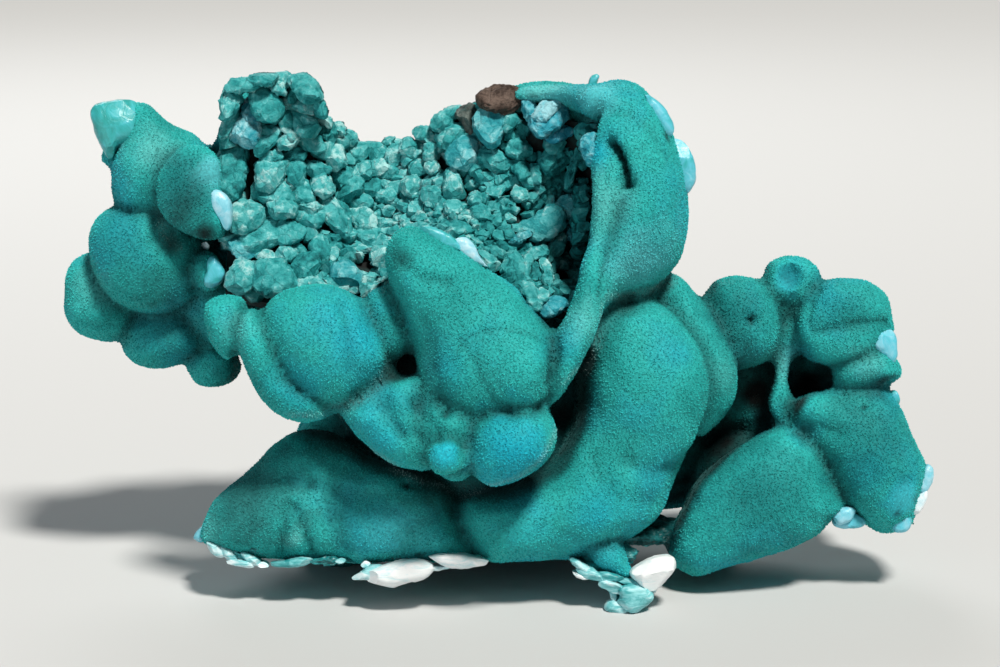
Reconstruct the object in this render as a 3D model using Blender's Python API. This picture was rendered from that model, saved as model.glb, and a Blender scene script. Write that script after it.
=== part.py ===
"""An aurichalcite specimen, about 88 mm wide: two tiers of velvety rounded lobes grown into one mass, a hollow in the
upper tier that is lined with blocky crystals, and the chalky white matrix that the mass grew on and stands on.

X runs across the show face, left to right, Y from front to back and Z up. The origin is at the middle of the base."""

import math
import random

import bmesh
import bpy
from mathutils import Euler, Matrix, Vector

MM = 0.001
# The point under the middle of the specimen, in the millimetres that the tables below use.
MIDDLE = Vector((-0.6, 3.0, 0.0))

# Each lobe: centre, radii and tilt. Lengths are in millimetres, and the tilt turns the lobe about Y, in degrees,
# clockwise as seen from the front.
UPPER_LOBES = {
    # the large smooth dome on the right, with the fold that runs down in front of it
    "dome_top": ((12.0, -1.0, 46.3), (5.8, 8.0, 5.8), 0),
    "dome_main": ((12.8, -2.0, 38.0), (6.1, 8.5, 7.6), 0),
    "dome_back": ((10.5, 6.0, 42.0), (6.5, 6.5, 6.5), 0),
    "dome_rim": ((5.0, 7.5, 48.4), (6.5, 4.6, 3.1), 0),
    "fold_1": ((9.9, -7.0, 45.2), (2.2, 2.8, 2.6), 0),
    "fold_2": ((10.5, -9.0, 41.3), (2.3, 3.0, 3.2), 0),
    "fold_3": ((9.8, -10.0, 37.0), (2.5, 3.2, 3.4), 0),
    "fold_4": ((8.5, -11.0, 32.8), (2.7, 3.4, 3.5), 0),
    "fold_5": ((6.8, -12.0, 28.6), (2.9, 3.6, 3.4), 0),
    "fold_6": ((5.2, -12.5, 24.8), (2.9, 4.0, 3.2), 0),
    # the cluster that hangs at the front of the hollow
    "front_top": ((-6.1, -9.0, 33.0), (5.8, 5.5, 6.2), 0),
    "front_mid": ((-0.8, -11.0, 29.6), (6.0, 5.5, 5.4), 0),
    "front_belly": ((0.5, -12.0, 23.8), (5.6, 6.0, 5.5), 0),
    "front_low_right": ((1.4, -12.0, 18.5), (4.5, 5.5, 5.0), 0),
    "front_low_mid": ((-3.7, -12.0, 18.0), (4.3, 5.0, 4.3), 0),
    "front_low_left": ((-11.2, -9.0, 18.8), (4.3, 5.0, 4.3), 0),
    "front_flank": ((-7.3, -10.0, 24.3), (4.0, 5.0, 5.0), 0),
    # the lobe to the left of it
    "cheek_main": ((-15.5, -8.0, 26.5), (5.8, 6.0, 6.0), 0),
    "cheek_low": ((-20.6, -7.0, 23.3), (4.8, 5.5, 4.8), 0),
    "cheek_link": ((-22.4, -4.0, 28.5), (3.6, 5.0, 3.6), 0),
    "cheek_small": ((-26.1, -6.0, 28.1), (3.3, 4.0, 3.3), 0),
    "cheek_strip": ((-10.6, -7.0, 28.6), (2.6, 4.0, 4.2), 0),
    # the far left cluster, set back
    "left_top": ((-34.5, 8.0, 41.4), (4.8, 6.0, 4.8), 0),
    "left_mid": ((-36.1, 8.0, 34.4), (6.2, 7.0, 6.0), 0),
    "left_far": ((-41.3, 8.0, 28.1), (4.1, 5.0, 4.5), 0),
    "left_low": ((-35.2, 8.0, 24.7), (4.2, 5.0, 4.0), 0),
    "left_drop": ((-29.6, 6.0, 21.4), (2.9, 4.0, 2.6), 0),
    "left_core": ((-31.3, 5.0, 30.0), (5.0, 6.0, 5.0), 0),
    "left_ear": ((-31.6, 2.0, 40.0), (3.7, 4.0, 5.0), 0),
    "left_ear_low": ((-30.1, 2.0, 32.4), (2.6, 3.5, 3.0), 0),
    # behind the hollow
    "wall_left": ((-17.0, 12.0, 35.0), (8.5, 6.5, 8.0), 0),
    "wall_saddle": ((-9.0, 13.5, 35.5), (8.0, 6.0, 7.5), 0),
    "wall_right": ((0.0, 10.5, 40.0), (8.0, 6.0, 9.0), 0),
    "wall_tower": ((-23.8, 8.0, 43.0), (5.6, 4.5, 8.0), 0),
}
LOWER_LOBES = {
    "middle_upper": ((15.5, -2.0, 22.2), (7.4, 8.0, 7.4), 0),
    "middle_outer": ((19.0, 3.0, 22.7), (5.8, 7.0, 6.6), 0),
    "middle_low": ((10.8, -3.0, 12.7), (7.0, 8.0, 7.0), 0),
    "middle_bottom": ((5.9, -5.0, 8.9), (5.6, 7.0, 4.8), 0),
    "apron_1": ((-2.0, -6.0, 9.0), (5.6, 7.0, 4.6), 0),
    "apron_2": ((-9.5, -4.0, 9.4), (6.0, 7.0, 5.3), 0),
    "apron_3": ((-17.0, -3.0, 9.9), (6.5, 7.0, 6.0), 0),
    "apron_hump": ((-20.7, -1.0, 12.4), (4.8, 6.0, 4.6), 0),
    "apron_4": ((-22.8, -3.0, 8.9), (5.2, 6.0, 5.0), 0),
    "apron_tip": ((-27.5, -3.0, 6.6), (2.6, 4.0, 2.2), 0),
    "right_left": ((24.7, -1.0, 9.2), (8.3, 7.0, 5.6), -25),
    "right_toe": ((20.0, -2.0, 5.3), (4.2, 5.0, 4.0), 0),
    "right_main": ((36.1, 0.0, 13.5), (6.8, 7.0, 6.6), 0),
    "right_low": ((38.8, 0.0, 8.9), (4.5, 5.0, 3.8), 0),
    "right_top": ((35.6, 3.0, 17.4), (5.5, 6.0, 3.5), 0),
    "right_mid": ((30.4, 1.0, 13.8), (6.0, 6.0, 5.5), 0),
    "shoulder": ((24.0, 4.0, 26.0), (4.8, 5.5, 5.2), 0),
    "bud": ((29.9, 4.0, 30.7), (3.0, 3.0, 2.8), 0),
    "crown": ((35.1, 3.0, 27.3), (4.6, 5.0, 4.0), 0),
    "crown_low": ((34.0, 2.0, 24.4), (3.8, 4.5, 3.0), 0),
    "crown_tail": ((37.3, 2.0, 21.8), (3.4, 4.0, 2.2), 0),
}
BACK_LOBES = {
    "back_1": ((-36.0, 13.0, 33.0), (5.0, 5.0, 5.5), 0),
    "back_2": ((-31.0, 14.0, 39.0), (4.5, 5.0, 4.5), 0),
    "back_3": ((-29.0, 15.0, 29.0), (5.5, 5.5, 5.5), 0),
    "back_4": ((-23.0, 14.0, 42.5), (4.5, 5.0, 4.5), 0),
    "back_5": ((-22.0, 17.0, 34.0), (6.0, 5.5, 6.5), 0),
    "back_6": ((-13.5, 18.0, 37.0), (6.0, 5.5, 6.0), 0),
    "back_7": ((-15.0, 17.0, 27.0), (6.0, 6.0, 5.5), 0),
    "back_8": ((-5.0, 17.5, 39.5), (6.0, 5.0, 5.5), 0),
    "back_9": ((-5.0, 18.5, 30.0), (7.0, 5.5, 7.0), 0),
    "back_10": ((3.5, 14.0, 44.5), (5.0, 5.0, 4.0), 0),
    "back_11": ((5.5, 16.5, 36.0), (6.5, 6.0, 6.5), 0),
    "back_12": ((12.0, 11.0, 42.5), (5.0, 5.0, 5.0), 0),
    "back_13": ((14.0, 10.0, 34.0), (5.0, 6.0, 6.0), 0),
    "rear_1": ((-22.0, 5.0, 9.5), (6.0, 6.0, 5.0), 0),
    "rear_2": ((-15.0, 11.0, 11.5), (7.0, 7.0, 6.5), 0),
    "rear_3": ((-5.0, 14.5, 11.0), (7.5, 7.0, 6.5), 0),
    "rear_4": ((6.0, 15.5, 13.5), (7.5, 7.0, 7.0), 0),
    "rear_5": ((15.0, 12.0, 20.0), (7.0, 7.0, 7.0), 0),
    "rear_6": ((17.0, 11.0, 10.5), (7.0, 7.0, 6.0), 0),
    "rear_7": ((26.0, 10.5, 18.0), (6.5, 6.5, 6.5), 0),
    "rear_8": ((26.0, 7.5, 9.5), (6.0, 6.0, 5.5), 0),
    "rear_9": ((34.0, 9.0, 14.0), (6.0, 6.0, 6.0), 0),
    "rear_10": ((33.0, 9.5, 22.5), (5.0, 4.5, 5.0), 0),
}
# the thin column that joins the crown to the lobe under it, and what is behind it
STEM_LOBES = {
    "stem_top": ((29.0, 2.6, 24.6), (1.3, 1.5, 2.2), 10),
    "stem_middle": ((28.7, 2.2, 21.4), (1.1, 1.3, 2.9), 6),
    "stem_foot": ((28.0, 1.8, 18.4), (1.7, 1.8, 2.6), 4),
    "bud_link": ((28.0, 4.5, 27.6), (1.9, 2.0, 2.2), 20),
}
CORE = {
    "core_left": ((-14.0, 5.0, 24.0), (8.0, 8.0, 8.0), 0),
    "core_middle": ((-2.0, 4.0, 23.0), (11.0, 9.0, 9.0), 0),
    "core_right": ((9.0, 4.0, 27.0), (8.0, 8.0, 8.0), 0),
    "core_low": ((0.0, 4.0, 12.0), (16.0, 9.0, 7.0), 0),
    "core_rear": ((-8.0, 13.0, 20.0), (9.0, 7.0, 7.5), 0),
    "core_rear_right": ((5.0, 12.0, 25.0), (9.0, 8.0, 9.0), 0),
}
# Angular blocks where a lobe is broken: centre, lengths and turn about X, Y and Z in degrees.
BROKEN_BLOCKS = {
    "left_horn": ((-38.4, 8.0, 46.0), (5.6, 4.6, 5.0), (10, -14, 20)),
    "left_horn_foot": ((-37.0, 8.0, 43.2), (3.6, 4.0, 4.0), (0, 20, 0)),
    "right_edge": ((41.4, 0.0, 12.3), (4.4, 4.0, 4.4), (0, 42, 0)),
    "right_edge_low": ((40.8, -1.0, 8.2), (3.2, 4.0, 3.6), (0, 20, 0)),
    "tail_wedge": ((37.6, 2.5, 20.2), (5.6, 4.0, 1.6), (0, -8, 0)),
    "crown_chip": ((38.8, 2.0, 25.2), (2.2, 3.4, 4.4), (0, 12, 10)),
}
# The chalky matrix under the lower tier, and the feet that it stands on.
MATRIX_LUMPS = {
    "slab_left": ((-24.4, -3.6, 5.5), (4.8, 5.0, 1.5), 12),
    "slab_middle": ((-17.0, -3.6, 4.5), (5.5, 6.0, 1.7), 0),
    "lens": ((-7.4, -6.9, 4.5), (7.6, 5.2, 1.8), 0),
    "slab_right": ((3.0, -4.0, 4.4), (7.0, 6.0, 1.7), 0),
    "slab_rear": ((-6.0, 5.0, 3.8), (14.0, 7.0, 2.0), 0),
    "foot_neck": ((10.5, -7.0, 4.6), (4.0, 3.2, 2.0), 0),
    "foot_ledge": ((10.4, -9.2, 3.4), (3.4, 2.2, 1.5), 25),
    "foot_tip": ((12.1, -9.2, 0.9), (2.2, 2.0, 1.9), 0),
    "foot_chip": ((15.0, -9.4, 3.2), (1.4, 2.2, 3.5), 29),
    "rear_foot_left": ((-17.0, 7.0, 2.2), (5.0, 4.5, 3.2), 0),
    "rear_foot_middle": ((3.0, 11.0, 2.0), (6.0, 4.0, 3.2), 0),
    "bridge": ((13.0, 7.0, 3.4), (9.0, 4.5, 2.2), 0),
    "rear_foot_right": ((20.5, 8.5, 2.0), (4.2, 3.6, 3.2), 0),
}
BUD_SCOOP = ((29.3, 1.0, 32.0), (1.8, 1.8, 1.5))
# The sloping bank of rubble in the hollow: its lower edge and its rim, from left to right, as points in millimetres.
BANK_FOOT = [
    (-27.6, -0.5, 31.0), (-23.0, -1.5, 30.0), (-17.0, -2.5, 31.3), (-12.0, -2.5, 31.0), (-9.0, -2.5, 34.5),
    (-5.0, -2.5, 36.0), (-1.0, -4.0, 34.0), (3.0, -6.5, 31.0), (8.2, -6.5, 29.5),
]
BANK_RIM = [
    (-27.6, 4.0, 47.5), (-25.0, 5.0, 50.6), (-21.5, 5.0, 51.2), (-18.5, 7.0, 47.6), (-14.5, 11.5, 43.6),
    (-10.0, 12.0, 44.0), (-5.0, 9.5, 47.2), (0.0, 7.5, 49.0), (4.5, 5.0, 48.4), (8.2, 2.5, 47.6),
]
BANK_SAG = 2.6
CAVITY_SAG = 6.0
CAVITY_X = 8.0
CAVITY_WIDTH = 4.2
# The line inside the fold that the lining of the hollow runs forward to, from its foot to its top.
FOLD_LINE = [(6.4, -7.6, 29.0), (7.6, -6.0, 35.0), (8.6, -4.5, 41.0), (9.4, -3.0, 47.2)]
BANK_COLUMNS = 26
WALL_COLUMNS = 5
BANK_ROWS = 12
CRUST_THICKNESS = 2.0
CUT_HEIGHT = 24.0
BLOCK_SPACING = 2.0
WALL_BLOCKS = 34
GAP = 0.55
FLOOR_CUT = 20.0
FLAT_BELOW = 0.1
# The share of the triangles that each piece keeps.
MASS_KEEP = 0.034
CRUST_KEEP = 0.034
MATRIX_KEEP = 0.03
# Linear colours: the velvety blue-green, the greyer crystals of the hollow and the chalky white matrix.
MASS_COLOUR = (0.033, 0.352, 0.352)
CRUST_COLOUR = (0.038, 0.242, 0.258)
MATRIX_COLOUR = (0.62, 0.80, 0.80)


def at(point):
    return (Vector(point) - MIDDLE) * MM


def add_ellipsoid(bm, centre, radii, tilt=0.0, subdivisions=4):
    """Adds one lobe to the mesh."""
    turn = Matrix.Rotation(math.radians(tilt), 4, "Y")
    size = Matrix.Diagonal([radius * MM for radius in radii]).to_4x4()
    place = Matrix.Translation(at(centre)) @ turn @ size
    bmesh.ops.create_icosphere(bm, subdivisions=subdivisions, radius=1.0, matrix=place)


def new_object(name, bm):
    mesh = bpy.data.meshes.new(name)
    bm.to_mesh(mesh)
    bm.free()
    made = bpy.data.objects.new(name, mesh)
    bpy.context.scene.collection.objects.link(made)
    return made


def add_modifier(target, kind, **settings):
    modifier = target.modifiers.new(kind.title(), kind)
    for key, value in settings.items():
        setattr(modifier, key, value)
    return modifier


def finish(target, name, colour, roughness):
    """Gives a piece its material: not metal, with one colour and roughness."""
    material = bpy.data.materials.new(name)
    material.use_nodes = True
    shader = material.node_tree.nodes["Principled BSDF"]
    shader.inputs["Base Color"].default_value = (*colour, 1.0)
    shader.inputs["Roughness"].default_value = roughness
    shader.inputs["Metallic"].default_value = 0.0
    target.data.materials.clear()
    target.data.materials.append(material)


def as_cutter(target):
    target.hide_render = True
    target.display_type = "WIRE"
    return target


def along(points, x):
    """The point of a left-to-right line at x, in millimetres."""
    for start, end in zip(points, points[1:]):
        if x <= end[0]:
            share = max(0.0, (x - start[0]) / (end[0] - start[0]))
            return Vector(start).lerp(Vector(end), share)
    return Vector(points[-1])


def bank_point(x, share):
    """The bank's surface at x, from its lower edge (share 0) to its rim (share 1)."""
    foot = along(BANK_FOOT, x)
    rim = along(BANK_RIM, x)
    cavity = math.exp(-((x - CAVITY_X) / CAVITY_WIDTH) ** 2)
    sag = (BANK_SAG + CAVITY_SAG * cavity) * math.sin(math.pi * share)
    point = foot.lerp(rim, share)
    slope = (rim - foot).normalized()
    return point + Vector((0.0, slope.z, -slope.y)) * sag


def wall_point(forward, share):
    """The lining of the fold's inside, from the end of the bank (forward 0) to the fold line (forward 1)."""
    place = share * (len(FOLD_LINE) - 1)
    index = min(int(place), len(FOLD_LINE) - 2)
    front = Vector(FOLD_LINE[index]).lerp(Vector(FOLD_LINE[index + 1]), place - index)
    return bank_point(BANK_FOOT[-1][0], share).lerp(front, forward)


def lining_grid(back=0.0, up=0.0):
    """A grid of points over the bank and the inside of the fold, moved back into the wall and up."""
    left = BANK_FOOT[0][0]
    right = BANK_FOOT[-1][0]
    shares = [row / (BANK_ROWS - 1) for row in range(BANK_ROWS)]
    grid = []
    for column in range(BANK_COLUMNS):
        x = left + (right - left) * column / (BANK_COLUMNS - 1)
        shift = Vector((0.0, 0.55 * back, up - 0.85 * back))
        grid.append([bank_point(x, share) + shift for share in shares])
    for column in range(1, WALL_COLUMNS + 1):
        forward = column / WALL_COLUMNS
        shift = Vector((0.9 * back, 0.2 * (1.0 - forward) * back, up - 0.3 * back))
        grid.append([wall_point(forward, share) + shift for share in shares])
    return grid


def add_between(bm, under, over):
    """Adds the closed solid between two grids of points."""
    low = [[bm.verts.new(at(point)) for point in column] for column in under]
    high = [[bm.verts.new(at(point)) for point in column] for column in over]
    columns = len(low)
    rows = len(low[0])
    for i in range(columns - 1):
        for j in range(rows - 1):
            bm.faces.new((high[i][j], high[i + 1][j], high[i + 1][j + 1], high[i][j + 1]))
            bm.faces.new((low[i][j], low[i][j + 1], low[i + 1][j + 1], low[i + 1][j]))
    edge = [(i, 0) for i in range(columns - 1)] + [(columns - 1, j) for j in range(rows - 1)]
    edge += [(i, rows - 1) for i in range(columns - 1, 0, -1)] + [(0, j) for j in range(rows - 1, 0, -1)]
    for (i, j), (m, n) in zip(edge, edge[1:] + edge[:1]):
        bm.faces.new((low[i][j], low[m][n], high[m][n], high[i][j]))


def hollow_cutter():
    bm = bmesh.new()
    add_between(bm, lining_grid(back=CRUST_THICKNESS), lining_grid(up=CUT_HEIGHT))
    add_ellipsoid(bm, *BUD_SCOOP, subdivisions=3)
    return as_cutter(new_object("hollow_cutter", bm))


def floor_cutter():
    """A box with its top on the level that the specimen stands on."""
    bm = bmesh.new()
    box = Matrix.Diagonal((200.0 * MM, 200.0 * MM, FLOOR_CUT * MM)).to_4x4()
    bmesh.ops.create_cube(bm, size=1.0, matrix=Matrix.Translation((0.0, 0.0, -FLOOR_CUT / 2 * MM)) @ box)
    return as_cutter(new_object("floor_cutter", bm))


def mass(cutter):
    bm = bmesh.new()
    for table in (UPPER_LOBES, LOWER_LOBES, BACK_LOBES, STEM_LOBES, CORE):
        for centre, radii, tilt in table.values():
            add_ellipsoid(bm, centre, radii, tilt)
    rng = random.Random(2)
    for centre, lengths, turns in BROKEN_BLOCKS.values():
        add_block(bm, centre, lengths, Euler([math.radians(turn) for turn in turns]).to_matrix().to_4x4(), rng)
    made = new_object("aurichalcite_mass", bm)
    add_modifier(made, "REMESH", mode="VOXEL", voxel_size=0.55 * MM, use_smooth_shade=True)
    add_modifier(made, "SMOOTH", factor=0.5, iterations=2)
    add_modifier(made, "BOOLEAN", operation="DIFFERENCE", solver="MANIFOLD", object=cutter)
    add_modifier(made, "REMESH", mode="VOXEL", voxel_size=0.5 * MM, use_smooth_shade=True)
    add_modifier(made, "DECIMATE", ratio=MASS_KEEP)
    return settle(made)


def linked(start):
    """All the points that edges join to the start point."""
    found = {start}
    waiting = [start]
    while waiting:
        for edge in waiting.pop().link_edges:
            for vertex in edge.verts:
                if vertex not in found:
                    found.add(vertex)
                    waiting.append(vertex)
    return found


def settle(target):
    """Applies the modifiers, drops the flakes that a cut leaves and lays the lowest points flat on the floor."""
    graph = bpy.context.evaluated_depsgraph_get()
    mesh = bpy.data.meshes.new_from_object(target.evaluated_get(graph))
    target.modifiers.clear()
    target.data = mesh
    bm = bmesh.new()
    bm.from_mesh(mesh)
    left = set(bm.verts)
    bodies = []
    while left:
        body = linked(next(iter(left)))
        left -= body
        bodies.append(body)
    largest = max(bodies, key=len)
    for body in bodies:
        if body is not largest:
            bmesh.ops.delete(bm, geom=list(body), context="VERTS")
    for vertex in bm.verts:
        if vertex.co.z < FLAT_BELOW * MM:
            vertex.co.z = 0.0
    bm.to_mesh(mesh)
    bm.free()
    return target


def grown_copy(source, gap):
    """A copy of a finished piece, larger by the gap all round, that cuts its neighbours clear of it."""
    made = bpy.data.objects.new(source.name + "_clearance", source.data.copy())
    bpy.context.scene.collection.objects.link(made)
    add_modifier(made, "DISPLACE", strength=gap * MM, mid_level=0.0)
    add_modifier(made, "REMESH", mode="VOXEL", voxel_size=0.6 * MM)
    return as_cutter(made)


def add_block(bm, centre, lengths, turn, rng):
    """One angular block: a box with its corners moved at random."""
    shape = Matrix.Diagonal([length * MM for length in lengths]).to_4x4()
    corners = bmesh.ops.create_cube(bm, size=1.0, matrix=Matrix.Translation(at(centre)) @ turn @ shape)["verts"]
    for corner in corners:
        corner.co += Vector([rng.uniform(-0.16, 0.16) * length * MM for length in lengths])


def any_turn(rng):
    axis = Vector((rng.gauss(0, 1), rng.gauss(0, 1), rng.gauss(0, 1)))
    return Matrix.Rotation(rng.uniform(0, math.tau), 4, axis)


def crust(clearance):
    rng = random.Random(4)
    bm = bmesh.new()
    add_between(bm, lining_grid(back=CRUST_THICKNESS + 1.5), lining_grid(back=0.4))
    x = BANK_FOOT[0][0]
    while x < BANK_FOOT[-1][0]:
        length = (along(BANK_RIM, x) - along(BANK_FOOT, x)).length
        rows = int(length / BLOCK_SPACING)
        for row in range(rows + 1):
            share = (row + rng.uniform(-0.35, 0.35)) / rows
            spot = bank_point(x + rng.uniform(-0.7, 0.7), min(1.0, max(0.0, share)))
            size = rng.uniform(1.7, 2.6) * (1.2 if share < 0.25 else 1.0)
            lengths = [size * rng.uniform(0.7, 1.25) for _ in range(3)]
            add_block(bm, spot, lengths, any_turn(rng), rng)
        x += BLOCK_SPACING
    for _ in range(WALL_BLOCKS):
        spot = wall_point(rng.uniform(0.0, 0.9), rng.uniform(0.05, 0.95))
        lengths = [rng.uniform(1.2, 2.4) for _ in range(3)]
        add_block(bm, spot, lengths, any_turn(rng), rng)
    made = new_object("hollow_crust", bm)
    add_modifier(made, "REMESH", mode="VOXEL", voxel_size=0.35 * MM)
    add_modifier(made, "BOOLEAN", operation="DIFFERENCE", solver="MANIFOLD", object=clearance)
    add_modifier(made, "REMESH", mode="VOXEL", voxel_size=0.3 * MM)
    add_modifier(made, "DECIMATE", ratio=CRUST_KEEP)
    return settle(made)


def matrix(clearance, floor):
    rng = random.Random(6)
    bm = bmesh.new()
    for centre, radii, tilt in MATRIX_LUMPS.values():
        add_ellipsoid(bm, centre, radii, tilt, subdivisions=2)
    for vertex in bm.verts:
        vertex.co += Vector([rng.uniform(-0.3, 0.3) * MM for _ in range(3)])
    made = new_object("white_matrix", bm)
    add_modifier(made, "REMESH", mode="VOXEL", voxel_size=0.4 * MM)
    add_modifier(made, "BOOLEAN", operation="DIFFERENCE", solver="MANIFOLD", object=clearance)
    add_modifier(made, "BOOLEAN", operation="DIFFERENCE", solver="MANIFOLD", object=floor)
    add_modifier(made, "REMESH", mode="VOXEL", voxel_size=0.4 * MM)
    add_modifier(made, "DECIMATE", ratio=MATRIX_KEEP)
    return settle(made)


def build():
    for leftover in list(bpy.data.objects):
        bpy.data.objects.remove(leftover)
    body = mass(hollow_cutter())
    clearance = grown_copy(body, GAP)
    finish(body, "velvet_aurichalcite", MASS_COLOUR, 0.8)
    finish(crust(clearance), "blocky_crystals", CRUST_COLOUR, 0.45)
    finish(matrix(clearance, floor_cutter()), "chalky_matrix", MATRIX_COLOUR, 0.7)


build()
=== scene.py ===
"""Dresses the aurichalcite specimen: cushions of blue-green velvet with real needles on them, crystals in the
hollow, pale broken chips, brown oxide, and the chalky matrix that shows along the lower edge.

Tables are in millimetres, measured from the point under the middle of the show face. The mesh is in metres.
Marks on the show face are placed by where the camera sees them, as points of its view, which is 1000 wide and
667 high."""

import math
import random

import bmesh
import bpy
import numpy as np
from mathutils import Euler, Matrix, Vector, noise
from mathutils.bvhtree import BVHTree
from mathutils.kdtree import KDTree


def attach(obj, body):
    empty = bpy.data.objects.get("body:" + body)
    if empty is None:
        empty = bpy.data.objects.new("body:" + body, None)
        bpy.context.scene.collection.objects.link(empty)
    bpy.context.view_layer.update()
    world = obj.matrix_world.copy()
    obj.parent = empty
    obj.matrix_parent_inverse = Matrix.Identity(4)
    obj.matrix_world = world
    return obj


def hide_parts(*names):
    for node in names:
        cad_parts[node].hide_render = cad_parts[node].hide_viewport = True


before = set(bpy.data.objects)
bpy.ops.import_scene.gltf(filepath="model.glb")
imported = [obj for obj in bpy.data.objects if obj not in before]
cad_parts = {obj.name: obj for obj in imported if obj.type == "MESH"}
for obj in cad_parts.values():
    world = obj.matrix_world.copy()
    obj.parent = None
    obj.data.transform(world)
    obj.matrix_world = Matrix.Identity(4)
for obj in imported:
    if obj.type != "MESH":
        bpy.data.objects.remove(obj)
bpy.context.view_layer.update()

MM = 0.001
# Without a set seed, Blender's noise vectors start from the clock and differ from run to run.
NOISE_SEED = 1
# The middle of the specimen's footprint, in the tables' millimetres.
MIDDLE = Vector((-0.6, 3.0, 0.0))

# The camera: where it looks, how far away it stands, how many degrees above the middle, and its lens and
# film width.
LOOK_AT = (0.0, 0.0, 26.0)
CAMERA_DISTANCE = 280.0
CAMERA_ELEVATION = 12.0
CLIP_START = 10.0
LENS = 100.0
FILM_WIDTH = 36.0
VIEW_SIZE = (1000, 667)
# The width of one point of the view at the middle of the specimen, and the points between marks along a
# line.
MM_PER_POINT = 0.101
LINE_STEP = 3.0

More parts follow.
